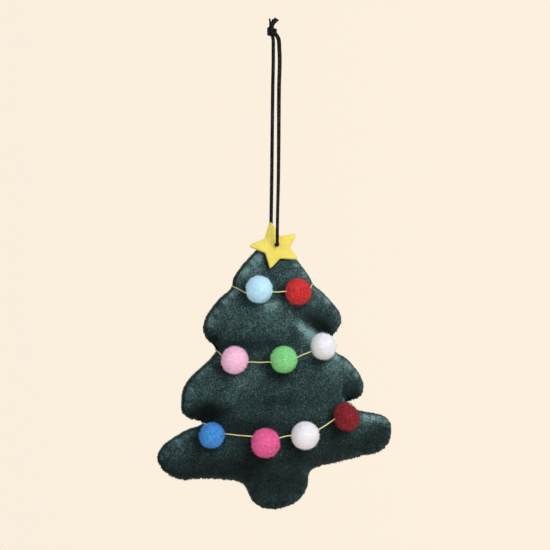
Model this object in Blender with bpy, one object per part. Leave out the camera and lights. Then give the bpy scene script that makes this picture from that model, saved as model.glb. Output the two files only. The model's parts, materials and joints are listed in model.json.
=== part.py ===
# Hanging pom pom Christmas tree: a stuffed velvet tree on a cord loop,
# with a felt star and nine pom poms on three threads.
# Metres, +Z up. The tree's front faces -Y. The origin is where the loop rests on its hanger.
import math

import bpy
import numpy as np
from mathutils import Matrix, Vector, geometry
from mathutils.bvhtree import BVHTree

MM = 0.001

# Hanging cord loop
CORD_DIAMETER = 1.5 * MM
HANGER_DIAMETER = 9.5 * MM
LOOP_DROP = 89.0 * MM
CORD_X = -1.2 * MM
CORD_BEND = 1.2 * MM
KNOT_RADIUS = 2.2 * MM
KNOT_HEIGHT = 3.1 * MM
KNOT_X = -1.9 * MM
KNOT_TUBE_SHARE = 0.2
KNOT_RING_SHARE = 0.68

# Velvet tree
TREE_WIDTH = 102.7 * MM
TREE_HEIGHT = 116.6 * MM
TREE_MIDDLE_X = -0.8 * MM
PEAK_ABOVE_CORD = 3.2 * MM
TREE_THICKNESS = 30.0 * MM
PANEL_THICKNESS = 1.0 * MM
SEAM_THREAD = 0.6 * MM
SEAM_DEPTH = 0.5 * MM
TRIM_SPACING = 3.4 * MM
SURFACE_SPACING = 5.0 * MM
FIRST_RING = 1.7 * MM
STUFFING_BELOW_CORD = 3.0 * MM

# Folds pressed into the velvet
GARLAND_PULL_SHARE = 0.12
GARLAND_PULL_WIDTH = 4.0 * MM
CREASE_WIDTH = 2.6 * MM

# Star
STAR_SIZE = 20.4 * MM
STAR_THICKNESS = 1.4 * MM
STAR_SPACING = 2.8 * MM
STAR_CUP = 0.9 * MM
STAR_LEAN_DEGREES = 20.0

# Garland
GARLAND_DIAMETER = 0.6 * MM
POM_DIAMETER = 12.0 * MM
POM_DIMPLE = 0.5 * MM
TIE_RADIUS = 1.1 * MM
STRAIGHT_PAST_POM = 0.6 * MM
THREAD_SAG = 1.2 * MM
POM_LEAN_SHARE = 0.1

# Closing stitches under the trunk
STITCH_DIAMETER = 0.45 * MM
STITCH_WIDTH = 2.2 * MM
STITCH_PITCH = 2.4 * MM
STITCHED_LENGTH = 22.0 * MM

# Clearances
GAP = 0.3 * MM
BORE_CLEARANCE = 0.35 * MM

# The tree's outline, from the peak round by the right: shares of its width from the middle
# line and of its height below the peak
OUTLINE_SHARES = [
    (-0.011, 0.0), (0.028, 0.018), (0.06, 0.048), (0.092, 0.081), (0.127, 0.12), (0.152, 0.153),
    (0.161, 0.172), (0.195, 0.196), (0.242, 0.238), (0.281, 0.285), (0.285, 0.307), (0.273, 0.335),
    (0.249, 0.36), (0.238, 0.392), (0.264, 0.427), (0.303, 0.445), (0.337, 0.475), (0.367, 0.512),
    (0.381, 0.553), (0.367, 0.586), (0.324, 0.601), (0.303, 0.608), (0.315, 0.623), (0.354, 0.638),
    (0.427, 0.651), (0.47, 0.662), (0.496, 0.686), (0.5, 0.715), (0.485, 0.763), (0.457, 0.786),
    (0.363, 0.808), (0.26, 0.83), (0.187, 0.845), (0.15, 0.861), (0.142, 0.882), (0.141, 0.911),
    (0.122, 0.948), (0.088, 0.978), (0.049, 0.993), (0.002, 1.0), (-0.058, 0.993), (-0.094, 0.969),
    (-0.118, 0.926), (-0.135, 0.906), (-0.17, 0.896), (-0.242, 0.889), (-0.32, 0.887),
    (-0.406, 0.889), (-0.448, 0.874), (-0.483, 0.847), (-0.5, 0.811), (-0.479, 0.771),
    (-0.427, 0.736), (-0.363, 0.706), (-0.322, 0.695), (-0.305, 0.684), (-0.32, 0.674),
    (-0.363, 0.665), (-0.391, 0.647), (-0.397, 0.608), (-0.388, 0.556), (-0.358, 0.516),
    (-0.307, 0.475), (-0.268, 0.444), (-0.249, 0.414), (-0.26, 0.396), (-0.288, 0.373),
    (-0.303, 0.342), (-0.294, 0.298), (-0.268, 0.261), (-0.225, 0.218), (-0.191, 0.194),
    (-0.178, 0.179), (-0.176, 0.157), (-0.144, 0.111), (-0.109, 0.076), (-0.075, 0.044),
    (-0.041, 0.013),
]

# Folds on the front, each a line of places with how much of the height it takes away
CREASE_SHARES = [
    (0.3, [(0.3, 0.608), (0.26, 0.6)]),
    (0.3, [(-0.305, 0.684), (-0.25, 0.68)]),
    (0.22, [(-0.249, 0.414), (-0.21, 0.405)]),
    (0.16, [(0.205, 0.33), (0.205, 0.35)]),
]

# The star's outline from the cord hole, across and up, as shares of its size
STAR_SHARES = [
    (-0.119, 0.504), (-0.045, 0.504), (0.085, 0.193), (0.404, 0.265), (0.438, 0.202),
    (0.283, -0.061), (0.43, -0.27), (0.382, -0.328), (0.06, -0.301), (-0.125, -0.535),
    (-0.194, -0.526), (-0.25, -0.175), (-0.57, -0.054), (-0.562, 0.025), (-0.238, 0.146),
]

# Each garland from its left end to its right: where it goes round the tree's edge, and the
# pom poms and bare places between. All are shares of the tree's width and height, and a
# pom pom adds its size across and along the thread as shares of POM_DIAMETER.
GARLAND_SHARES = {
    "top": [
        ("end", -0.178, 0.179),
        ("bare", -0.149, 0.204),
        ("pom_light_blue", -0.097, 0.191, 1.01, 1.0),
        ("bare", -0.01, 0.2),
        ("pom_red", 0.07, 0.2, 0.99, 0.98),
        ("end", 0.159, 0.17),
    ],
    "middle": [
        ("end", -0.249, 0.414),
        ("pom_pink", -0.204, 0.451, 1.02, 1.0),
        ("bare", -0.113, 0.46),
        ("pom_green", 0.0, 0.449, 1.0, 1.0),
        ("bare", 0.093, 0.433),
        ("pom_white_upper", 0.176, 0.401, 1.0, 0.93),
        ("end", 0.238, 0.392),
    ],
    "bottom": [
        ("end", -0.305, 0.684),
        ("pom_blue", -0.296, 0.728, 0.97, 0.95),
        ("bare", -0.179, 0.739),
        ("pom_hot_pink", -0.077, 0.756, 1.1, 1.08),
        ("bare", 0.01, 0.729),
        ("pom_white_lower", 0.093, 0.729, 1.04, 1.04),
        ("bare", 0.175, 0.697),
        ("pom_dark_red", 0.277, 0.664, 1.1, 0.96),
        ("end", 0.303, 0.608),
    ],
}

POM_COLOURS = {
    "pom_light_blue": (0.52, 0.73, 0.87),
    "pom_red": (0.62, 0.03, 0.03),
    "pom_pink": (0.84, 0.44, 0.68),
    "pom_green": (0.15, 0.53, 0.15),
    "pom_white_upper": (0.8, 0.76, 0.82),
    "pom_blue": (0.05, 0.22, 0.63),
    "pom_hot_pink": (0.71, 0.08, 0.3),
    "pom_white_lower": (0.8, 0.76, 0.82),
    "pom_dark_red": (0.26, 0.01, 0.02),
}

# Mesh fineness
CURVE_STEPS = 24
HOLE_SIDES = 12
BEND_STEPS = 5
POM_SIDES = 16
POM_BANDS = 9
KNOT_STEPS = 60
TIE_STEPS = 24
SEAT_RINGS = 9
SEAT_SIDES = 48
SEAT_STEPS = 40
SHARE_DIGITS = 4

HOLE_RADIUS = CORD_DIAMETER / 2 + GAP
CORD_HOLE = Vector((CORD_X, 0, -LOOP_DROP))
PEAK_Z = PEAK_ABOVE_CORD - LOOP_DROP
HALF_SEAM = SEAM_THREAD / 2 + GAP
SWELL = TREE_THICKNESS / 2 - HALF_SEAM


def clear_scene():
    """Removes the objects that Blender starts with."""
    for obj in list(bpy.data.objects):
        bpy.data.objects.remove(obj)


def material(name, colour, roughness, metallic=0.0):
    """A plain material of one colour."""
    made = bpy.data.materials.get(name)
    if made:
        return made
    made = bpy.data.materials.new(name)
    made.use_nodes = True
    shader = made.node_tree.nodes["Principled BSDF"]
    shader.inputs["Base Color"].default_value = (*colour, 1)
    shader.inputs["Roughness"].default_value = roughness
    shader.inputs["Metallic"].default_value = metallic
    made.diffuse_color = (*colour, 1)
    return made


def velvet():
    return material("green velvet", (0.035, 0.1, 0.095), 0.85)


def black_cord():
    return material("black cord", (0.012, 0.012, 0.014), 0.6)


def gold_thread():
    return material("gold thread", (0.72, 0.64, 0.35), 0.35, 0.6)


def axis_empty(name, at, parent=None):
    """An empty on a joint's axis, at a place in the frame."""
    empty = bpy.data.objects.new(name, None)
    bpy.context.collection.objects.link(empty)
    hang_on(empty, at, parent)
    return empty


def hang_on(obj, at, parent):
    """Parents an object to an unturned empty, with its own origin at a place in the frame."""
    obj.parent = parent
    obj.location = Vector(at) - (frame_place(parent) if parent else Vector())


def frame_place(empty):
    """Where an empty stands in the frame. Every empty here is unturned."""
    place = Vector(empty.location)
    while empty.parent:
        empty = empty.parent
        place += empty.location
    return place


def mesh_object(name, points, faces, stuff, at, parent, turn=None):
    """A smooth mesh from points in the frame, with its origin at a place and its own turn."""
    local = (turn or Matrix.Identity(3)).transposed()
    mesh = bpy.data.meshes.new(name)
    mesh.from_pydata([local @ (Vector(p) - Vector(at)) for p in points], [], faces)
    mesh.materials.append(stuff)
    mesh.shade_smooth()
    obj = bpy.data.objects.new(name, mesh)
    bpy.context.collection.objects.link(obj)
    hang_on(obj, at, parent)
    if turn:
        obj.rotation_euler = turn.to_euler()
    return obj


def cord_object(name, points, diameter, stuff, at, parent, closed=False, resolution=2):
    """A round cord along points in the frame."""
    curve = bpy.data.curves.new(name, "CURVE")
    curve.dimensions = "3D"
    curve.bevel_depth = diameter / 2
    curve.bevel_resolution = resolution
    curve.use_fill_caps = not closed
    spline = curve.splines.new("POLY")
    spline.points.add(len(points) - 1)
    for knot, place in zip(spline.points, points):
        knot.co = (*(Vector(place) - Vector(at)), 1)
    spline.use_cyclic_u = closed
    spline.use_smooth = True
    curve.materials.append(stuff)
    obj = bpy.data.objects.new(name, curve)
    bpy.context.collection.objects.link(obj)
    hang_on(obj, at, parent)
    return obj


def smooth_through(points, spacing, closed=False):
    """Evenly spaced points along a smooth curve through the given ones."""
    points = np.asarray(points, float)
    if closed:
        points = np.concatenate([points[-1:], points, points[:2]])
    else:
        before = 2 * points[:1] - points[1:2]
        after = 2 * points[-1:] - points[-2:-1]
        points = np.concatenate([before, points, after])
    span = np.linalg.norm(np.diff(points, axis=0), axis=1)[:, None]
    slope = np.diff(points, axis=0) / span
    tangent = (slope[:-1] * span[1:] + slope[1:] * span[:-1]) / (span[1:] + span[:-1])
    start, end, reach = points[1:-2], points[2:-1], span[1:-1]
    lines = []
    for t in np.linspace(0, 1, CURVE_STEPS, endpoint=False):
        ease = t * t * (3 - 2 * t)
        leave = t * (1 - t) ** 2 * reach * tangent[:-1]
        arrive = t * t * (t - 1) * reach * tangent[1:]
        lines.append(start * (1 - ease) + end * ease + leave + arrive)
    dense = np.stack(lines, 1).reshape(-1, points.shape[1])
    dense = np.concatenate([dense, points[-2:-1]])
    along = np.concatenate([[0], np.cumsum(np.linalg.norm(np.diff(dense, axis=0), axis=1))])
    count = max(2, round(along[-1] / spacing))
    places = np.linspace(0, along[-1], count + 1)
    if closed:
        places = places[:-1]
    return np.stack([np.interp(places, along, column) for column in dense.T], 1)


def tree_place(across, down):
    """The frame's X and Z of a place on the tree given as shares."""
    return np.array([TREE_MIDDLE_X + across * TREE_WIDTH, PEAK_Z - down * TREE_HEIGHT])


def edge_normals(loop):
    """The outward directions of a flat loop that runs clockwise."""
    ahead = np.roll(loop, -1, 0) - np.roll(loop, 1, 0)
    outward = np.stack([-ahead[:, 1], ahead[:, 0]], 1)
    return outward / np.linalg.norm(outward, axis=1)[:, None]


def distance_to_line(points, line):
    """How far flat points lie from a line of several straight stretches."""
    line = np.asarray(line, float)
    least = np.full(len(points), np.inf)
    for a, b in zip(line[:-1], line[1:]):
        along = np.clip((points - a) @ (b - a) / ((b - a) @ (b - a)), 0, 1)
        nearest = a + along[:, None] * (b - a)
        least = np.minimum(least, np.linalg.norm(points - nearest, axis=1))
    return least


def inside(points, loop):
    """Which flat points lie within a loop."""
    ends = np.roll(loop, -1, 0)
    found = np.zeros(len(points), bool)
    for a, b in zip(loop, ends):
        spans = (a[1] > points[:, 1]) != (b[1] > points[:, 1])
        if not spans.any():
            continue
        cross = a[0] + (points[:, 1] - a[1]) * (b[0] - a[0]) / (b[1] - a[1])
        found ^= spans & (points[:, 0] < cross)
    return found


def inner_points(loop, keep_off, spacing, margin):
    """A grid of staggered points within a loop that keeps off its edge and other points."""
    low, high = loop.min(0), loop.max(0)
    row_step = spacing * math.sqrt(3) / 2
    rows = np.arange(low[1], high[1], row_step)
    columns = np.arange(low[0], high[0], spacing)
    grid = []
    for i, z in enumerate(rows):
        shift = spacing / 2 * (i % 2)
        grid += [(x + shift, z) for x in columns]
    grid = np.array(grid)
    grid = grid[inside(grid, loop)]
    grid = grid[distance_to_line(grid, np.concatenate([loop, loop[:1]])) > margin]
    apart = np.linalg.norm(grid[:, None] - keep_off[None], axis=2).min(1)
    return grid[apart > spacing / 2]


def flat_mesh(loop, hole_at, hole_radius, ring, spacing, cut=None):
    """Triangles that fill a loop around a round hole: points, triangles, loop and hole."""
    turns = np.arange(HOLE_SIDES) * 2 * math.pi / HOLE_SIDES
    hole = hole_at + hole_radius * np.stack([np.cos(turns), np.sin(turns)], 1)
    collar = hole_at + 2 * (hole - hole_at)
    extra = [collar[inside(collar, loop)]]
    if ring:
        offset = loop - ring * edge_normals(loop)
        from_edge = distance_to_line(offset, np.concatenate([loop, loop[:1]]))
        clear = np.linalg.norm(offset - hole_at, axis=1) > 2 * hole_radius + ring / 2
        extra.append(offset[(from_edge > ring * 0.85) & clear])
    if cut is not None:
        extra.append(cut)
    fixed = np.concatenate([loop, hole])
    others = np.concatenate(extra)
    others = others[distance_to_line(others, np.concatenate([loop, loop[:1]])) > hole_radius / 3]
    grid = inner_points(loop, np.concatenate([fixed, others]), spacing, max(ring, spacing / 2))
    points = np.concatenate([fixed, others, grid])
    n, m = len(loop), len(hole)
    edges = [(i, (i + 1) % n) for i in range(n)] + [(n + i, n + (i + 1) % m) for i in range(m)]
    shares = [Vector(p) for p in np.round(points / spacing, SHARE_DIGITS).tolist()]
    made = geometry.delaunay_2d_cdt(shares, edges, [list(range(n))], 1, 1e-6)
    if len(made[0]) != len(points):
        raise ValueError("the outline crosses itself")
    order = np.array([sources[0] for sources in made[3]])
    triangles = order[np.array([list(face) for face in made[2]])]
    middle = points[triangles].mean(1)
    triangles = triangles[np.linalg.norm(middle - hole_at, axis=1) > hole_radius]
    a, b, c = (points[triangles[:, i]] for i in range(3))
    turn = (b - a)[:, 0] * (c - a)[:, 1] - (b - a)[:, 1] * (c - a)[:, 0]
    triangles[turn < 0] = triangles[turn < 0][:, ::-1]
    return points, triangles, np.arange(n), np.arange(n, n + m)


def blown_up(points, triangles, edge):
    """How far a skin held at its edge rises under even pressure, as a share of the most."""
    stiff = np.zeros((len(points), len(points)))
    push = np.zeros(len(points))
    for k in range(3):
        i, j, o = triangles[:, k], triangles[:, (k + 1) % 3], triangles[:, (k + 2) % 3]
        u, v = points[i] - points[o], points[j] - points[o]
        cross = np.abs(u[:, 0] * v[:, 1] - u[:, 1] * v[:, 0])
        weight = (u * v).sum(1) / cross / 2
        np.add.at(stiff, (i, j), -weight)
        np.add.at(stiff, (j, i), -weight)
        np.add.at(stiff, (i, i), weight)
        np.add.at(stiff, (j, j), weight)
        np.add.at(push, i, cross / 6)
    free = np.setdiff1d(np.arange(len(points)), edge)
    rise = np.zeros(len(points))
    rise[free] = np.linalg.solve(stiff[np.ix_(free, free)], push[free])
    return rise / rise.max()


def closed_between(front, back, triangles):
    """One closed body between two surfaces that share their triangles, walled at their edges."""
    count = len(front)
    directed = np.concatenate([triangles[:, [0, 1]], triangles[:, [1, 2]], triangles[:, [2, 0]]])
    known = set(map(tuple, directed.tolist()))
    border = [(a, b) for a, b in known if (b, a) not in known]
    border.sort()
    faces = [tuple(face) for face in triangles.tolist()]
    faces += [tuple(face) for face in (triangles[:, ::-1] + count).tolist()]
    faces += [(b, a, a + count, b + count) for a, b in border]
    points = np.concatenate([front, back])
    used = sorted({i for face in faces for i in face})
    new = {old: i for i, old in enumerate(used)}
    return points[used], [tuple(new[i] for i in face) for face in faces]


def garland_line(row):
    """The flat places that a garland crosses on the tree."""
    return [tree_place(stop[1], stop[2]) for stop in GARLAND_SHARES[row]]


def swelling(points, triangles, loop, folded):
    """The height of the stuffed skin over the seam's plane at each flat point."""
    rise = SWELL * np.sqrt(blown_up(points, triangles, loop))
    for row in GARLAND_SHARES:
        line = garland_line(row)
        off = distance_to_line(points, line if folded else [line[0], line[-1]])
        rise *= 1 - GARLAND_PULL_SHARE * np.exp(-((off / GARLAND_PULL_WIDTH) ** 2))
    for share, places in CREASE_SHARES if folded else []:
        off = distance_to_line(points, [tree_place(*place) for place in places])
        rise *= 1 - share * np.exp(-((off / CREASE_WIDTH) ** 2))
    return rise


def skin_normals(skin, triangles):
    """The outward direction at each point of a skin whose triangles face outward."""
    a, b, c = (skin[triangles[:, i]] for i in range(3))
    facing = np.cross(b - a, c - a)
    total = np.zeros_like(skin)
    for k in range(3):
        np.add.at(total, triangles[:, k], facing)
    return total / np.linalg.norm(total, axis=1)[:, None]


def tree_skin(side, sheet):
    """The velvet's outer surface on one side, -1 front and +1 back: places and directions."""
    flat, triangles, loop, hole = sheet
    rise = swelling(flat, triangles, loop, side < 0)
    skin = np.stack([flat[:, 0], side * (HALF_SEAM + rise), flat[:, 1]], 1)
    facing = triangles if side < 0 else triangles[:, ::-1]
    outward = skin_normals(skin, facing)
    rim = edge_normals(flat[loop])
    outward[loop] = np.stack([rim[:, 0], np.zeros(len(rim)), rim[:, 1]], 1)
    outward[hole] = (0, side, 0)
    return skin, outward, facing


def sunk(skin, outward, depth, side):
    """The skin moved in by a depth, stopped short of the seam's plane."""
    moved = skin - depth * outward
    moved[:, 1] = side * np.maximum(side * moved[:, 1], HALF_SEAM)
    return moved


def make_panel(name, side, sheet, parent):
    """One velvet side of the tree, with the cord's hole through it."""
    skin, outward, facing = tree_skin(side, sheet)
    lining = sunk(skin, outward, PANEL_THICKNESS, side)
    points, faces = closed_between(skin, lining, facing)
    return mesh_object(name, points, faces, velvet(), CORD_HOLE, parent)


def make_stuffing(sheet, parent):
    """The fibre filling, which ends below the cord."""
    flat, triangles, _, _ = sheet
    depth = PANEL_THICKNESS + GAP
    kept = flat[triangles][:, :, 1].max(1) < -LOOP_DROP - STUFFING_BELOW_CORD + GAP / 3
    sides = []
    for side in (-1, 1):
        skin, outward, _ = tree_skin(side, sheet)
        sides.append(sunk(skin, outward, depth, side))
    points, faces = closed_between(sides[0], sides[1], triangles[kept])
    fibre = material("white fibre", (0.8, 0.8, 0.78), 0.95)
    return mesh_object("stuffing", points, faces, fibre, CORD_HOLE, parent)


def make_seam_thread(loop, parent):
    """The stitching thread that lies in the groove between the two panels."""
    line = loop - SEAM_DEPTH * edge_normals(loop)
    points = [(x, 0, z) for x, z in line]
    thread = material("dark sewing thread", (0.02, 0.05, 0.048), 0.7)
    return cord_object("seam_thread", points, SEAM_THREAD, thread, CORD_HOLE, parent, True, 0)


def make_closing_stitches(loop, parent):
    """The thread that goes to and fro over the seam under the trunk."""
    middle = int(np.argmin(loop[:, 1]))
    order = np.roll(loop, len(loop) // 2 - middle, 0)
    along = np.concatenate([[0], np.cumsum(np.linalg.norm(np.diff(order, axis=0), axis=1))])
    centre = along[len(loop) // 2]
    crossings = round(STITCHED_LENGTH / STITCH_PITCH)
    outward = edge_normals(order)
    stand = STITCH_DIAMETER / 2 + GAP
    points = []
    for i in range(2 * crossings + 1):
        at = centre - STITCHED_LENGTH / 2 + i * STITCH_PITCH / 2
        place = [np.interp(at, along, order[:, k]) for k in range(2)]
        away = [np.interp(at, along, outward[:, k]) for k in range(2)]
        swing = STITCH_WIDTH / 2 * (1 if i % 2 else -1)
        points.append((place[0] + stand * away[0], swing, place[1] + stand * away[1]))
    thread = material("dark sewing thread", (0.02, 0.05, 0.048), 0.7)
    at, name = CORD_HOLE, "closing_stitches"
    return cord_object(name, points, STITCH_DIAMETER, thread, at, parent, False, 0)


def star_lean():
    """The turn that leans the star's top back."""
    return Matrix.Rotation(-math.radians(STAR_LEAN_DEGREES), 3, "X")


def star_hole_radius():
    """The star's hole is wider than the cord by as much as the lean needs."""
    lean = math.radians(STAR_LEAN_DEGREES)
    return HOLE_RADIUS / math.cos(lean) + STAR_THICKNESS * math.tan(lean) / 2


def make_star(front_tree, parent):
    """The felt star, leaning back against the peak, with its origin on the cord's hole."""
    outline = np.array(STAR_SHARES) * STAR_SIZE
    loop = with_steps(outline, STAR_SPACING)
    flat, triangles, _, _ = flat_mesh(loop, np.zeros(2), star_hole_radius(), 0, STAR_SPACING)
    away = np.linalg.norm(flat, axis=1)
    dish = STAR_CUP * (away / away.max()) ** 2
    front = np.stack([flat[:, 0], dish - STAR_THICKNESS / 2, flat[:, 1]], 1)
    back = np.stack([flat[:, 0], dish + STAR_THICKNESS / 2, flat[:, 1]], 1)
    points, faces = closed_between(front, back, triangles)
    turn = star_lean()
    at = star_seat(away.max(), turn, front_tree)
    placed = [turn @ Vector(p) + at for p in points]
    felt = material("yellow felt", (0.83, 0.66, 0.08), 0.9)
    mesh_object("star", placed, faces, felt, at, parent, turn)
    return at


def star_seat(reach, turn, front_tree):
    """The place of the star's middle where every turn of the star just clears the tree."""
    forward = 0.0
    for share in np.linspace(0, 1, SEAT_RINGS):
        for k in range(SEAT_SIDES):
            angle = k * 2 * math.pi / SEAT_SIDES
            radius = share * reach
            behind = STAR_CUP * share**2 + STAR_THICKNESS / 2
            spot = Vector((radius * math.cos(angle), behind, radius * math.sin(angle)))
            spot = turn @ spot + CORD_HOLE
            start = spot - Vector((0, LOOP_DROP, 0))
            hit = front_tree.ray_cast(start, Vector((0, 1, 0)))[0]
            if hit is not None:
                forward = max(forward, spot.y - hit.y)
    return CORD_HOLE - Vector((0, forward + GAP, 0))


def with_steps(outline, spacing):
    """An outline with points added along its straight stretches."""
    loop = []
    for a, b in zip(outline, np.roll(outline, -1, 0)):
        steps = max(1, round(float(np.linalg.norm(b - a)) / spacing))
        loop += [a + (b - a) * k / steps for k in range(steps)]
    return np.array(loop)


def pom_size(stop):
    """A pom pom's radius round the thread and its half length along it."""
    return POM_DIAMETER * stop[3] / 2, POM_DIAMETER * stop[4] / 2


def bore_radius():
    return GARLAND_DIAMETER / 2 + BORE_CLEARANCE


def seat_pom(stop, skin_tree):
    """The centre of a pom pom that rests just clear of the velvet."""
    x, z = tree_place(stop[1], stop[2])
    need = max(pom_size(stop)) + GAP
    place = Vector((x, -TREE_THICKNESS, z))
    for _ in range(SEAT_STEPS):
        place.y += skin_tree.find_nearest(place)[3] - need
    return place


def garland_stops(row, front_tree):
    """A garland's front route: its ends at the seam, its pom poms and its bare places."""
    stops = []
    for stop in GARLAND_SHARES[row]:
        x, z = tree_place(stop[1], stop[2])
        if stop[0].startswith("pom"):
            stops.append((stop, seat_pom(stop, front_tree)))
        elif stop[0] == "end":
            out = 1 if stop[1] > 0 else -1
            stops.append((stop, Vector((x + out * (GARLAND_DIAMETER / 2 + GAP), 0, z))))
        else:
            hit = front_tree.ray_cast(Vector((x, -LOOP_DROP, z)), Vector((0, 1, 0)))[0]
            stops.append((stop, hit - Vector((0, POM_DIAMETER / 2 - THREAD_SAG, 0))))
    return stops


def pom_axes(stops):
    """The thread's direction through each pom pom. It leans little to the front or back."""
    axes = {}
    for before, (stop, place), after in zip(stops[:-2], stops[1:-1], stops[2:]):
        if stop[0].startswith("pom"):
            way = after[1] - before[1]
            most = POM_LEAN_SHARE * way.xz.length
            way.y = max(-most, min(most, way.y))
            axes[stop[0]] = way.normalized()
    return axes


def clear_of(points, trees, stand):
    """Moves a thread's points out to a given distance from the velvet."""
    moved = []
    for p in points:
        place = Vector(p)
        for _ in range(6):
            near = min((tree.find_nearest(place) for tree in trees), key=lambda hit: hit[3])
            if near[3] >= stand and (place - near[0]).dot(near[1]) > 0:
                break
            place = near[0] + near[1] * (stand + GAP / 10)
        moved.append(place)
    return moved


def back_place(x, z, back_tree, stand):
    """A place just off the back of the tree."""
    hit = back_tree.ray_cast(Vector((x, LOOP_DROP, z)), Vector((0, -1, 0)))
    return hit[0] + hit[1] * stand


def garland_route(stops, axes, back_tree, tie_at):
    """A garland's places in order: from the tie round the left, over the front and back."""
    stand = GARLAND_DIAMETER / 2 + GAP
    left, right = stops[0][1], stops[-1][1]
    tie_end = Vector((TIE_RADIUS + GAP + GARLAND_DIAMETER / 2, 0, 0))
    route = [tie_at - tie_end]
    for share in (0.3, 0.6, 0.85):
        x, z = (tie_at.xz).lerp(left.xz, share)
        route.append(back_place(x, z, back_tree, stand))
    route.append(left)
    for stop, place in stops[1:-1]:
        if stop[0].startswith("pom"):
            axis = axes[stop[0]]
            half = pom_size(stop)[1] + GAP
            far = half + STRAIGHT_PAST_POM
            route += [place + axis * k for k in (-far, -half, half, far)]
        else:
            route.append(place)
    route.append(right)
    for share in (0.85, 0.6, 0.3):
        x, z = (tie_at.xz).lerp(right.xz, share)
        route.append(back_place(x, z, back_tree, stand))
    route.append(tie_at + tie_end)
    return route


def knot_line(radius, tube, steps):
    """A closed trefoil whose tube just clears itself, as places about its middle."""
    ring = (radius - tube) * KNOT_RING_SHARE
    rise = (radius - tube) * (1 - KNOT_RING_SHARE)
    line = []
    for k in range(steps):
        turn = k * 2 * math.pi / steps
        out = ring + rise * math.cos(3 * turn)
        up = rise * math.sin(3 * turn)
        line.append((out * math.cos(2 * turn), out * math.sin(2 * turn), up * 1.3))
    return line


def make_knot(name, centre, radius, turn, steps, stuff, at, parent):
    """A small tight knot whose tube is a fixed share of its size."""
    tube = radius * KNOT_TUBE_SHARE
    line = [turn @ Vector(p) + centre for p in knot_line(radius, tube, steps)]
    return cord_object(name, line, 2 * tube, stuff, at, parent, True, 1)


def make_pom(stop, place, axis, parent):
    """A round pom pom with the thread's bore through it, turned about the thread."""
    around, along = pom_size(stop)
    bore = bore_radius()
    start = math.asin(bore / around)
    profile = []
    for k in range(POM_BANDS + 1):
        angle = start + (math.pi - 2 * start) * k / POM_BANDS
        dimple = POM_DIMPLE * max(0, abs(math.cos(angle)) - 0.9) / 0.1
        height = -(along * math.cos(angle) - math.copysign(dimple, math.cos(angle)))
        profile.append((around * math.sin(angle), height))
    points, faces = [], []
    for radius, height in profile:
        for k in range(POM_SIDES):
            angle = k * 2 * math.pi / POM_SIDES
            points.append((radius * math.cos(angle), radius * math.sin(angle), height))
    bands = len(profile)
    for band in range(bands):
        above = (band + 1) % bands
        for k in range(POM_SIDES):
            beside = (k + 1) % POM_SIDES
            low, high = band * POM_SIDES, above * POM_SIDES
            faces.append((low + k, low + beside, high + beside, high + k))
    turn = Vector((0, 0, 1)).rotation_difference(axis).to_matrix()
    placed = [turn @ Vector(p) + place for p in points]
    wool = material(stop[0].replace("_", " "), POM_COLOURS[stop[0]], 0.95)
    return mesh_object(stop[0], placed, faces, wool, place, parent, turn)


def make_garland(row, front_tree, back_tree, parent):
    """One thread with its pom poms and the tie on the back."""
    stops = garland_stops(row, front_tree)
    axes = pom_axes(stops)
    for stop, place in stops:
        if stop[0] in axes:
            make_pom(stop, place, axes[stop[0]], parent)
    x, z = (stops[0][1].xz).lerp(stops[-1][1].xz, 0.5)
    tie_at = back_place(x, z, back_tree, TIE_RADIUS + GAP)
    route = garland_route(stops, axes, back_tree, tie_at)
    line = smooth_through(route, 4 * GARLAND_DIAMETER)
    trees = (front_tree, back_tree)
    line = clear_of(line, trees, GARLAND_DIAMETER / 2 + GAP)
    name = "garland_" + row
    cord_object(name, line, GARLAND_DIAMETER, gold_thread(), CORD_HOLE, parent, False, 0)
    upright = Matrix.Rotation(math.pi / 2, 3, "X")
    name, stuff = "tie_" + row, gold_thread()
    make_knot(name, tie_at, TIE_RADIUS, upright, TIE_STEPS, stuff, CORD_HOLE, parent)


def make_cord_through(star_at, parent):
    """The straight run of cord through the star and the peak."""
    front, back = cord_ends(star_at)
    line = [(CORD_X, y, -LOOP_DROP) for y in np.linspace(front, back, 4)]
    return cord_object("cord_through", line, CORD_DIAMETER, black_cord(), CORD_HOLE, parent)


def cord_ends(star_at):
    """How far the run of cord reaches to the front and to the back."""
    front = star_at.y - STAR_THICKNESS / 2 - 1.5 * GAP
    return front, CORD_DIAMETER * 2.2


def bend_up(start, side):
    """The places of a cord that goes straight out, then bends to run upward."""
    straight = CORD_DIAMETER / 3
    line = [Vector(start)]
    for k in range(BEND_STEPS + 1):
        angle = math.pi / 2 * k / BEND_STEPS
        out = straight + CORD_BEND * math.sin(angle)
        line.append(Vector(start) + Vector((0, side * out, CORD_BEND * (1 - math.cos(angle)))))
    return line


def make_strand(name, side, near, parent):
    """One strand, from its bend at the tree up past the hanger to the knot."""
    beside = side * (HANGER_DIAMETER / 2 + CORD_DIAMETER)
    line = bend_up((CORD_X, near + side * GAP, -LOOP_DROP), side)
    last = line[-1]
    route = [
        last,
        last + Vector((0, 0, CORD_DIAMETER)),
        (CORD_X * 0.65, last.y * 0.65 + beside * 0.35, -LOOP_DROP * 0.65),
        (CORD_X * 0.25, last.y * 0.25 + beside * 0.75, -LOOP_DROP * 0.25),
        (0, beside, -HANGER_DIAMETER * 0.5),
        (KNOT_X * 0.15, beside * 0.85, 0),
        (KNOT_X * 0.55, beside * 0.56, KNOT_HEIGHT * 0.55),
        (KNOT_X, side * CORD_DIAMETER * 1.3, KNOT_HEIGHT * 0.8),
    ]
    line += [Vector(p) for p in smooth_through(route, 1.8 * CORD_DIAMETER)[1:]]
    return cord_object(name, line, CORD_DIAMETER, black_cord(), (0, 0, 0), parent)


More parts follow.
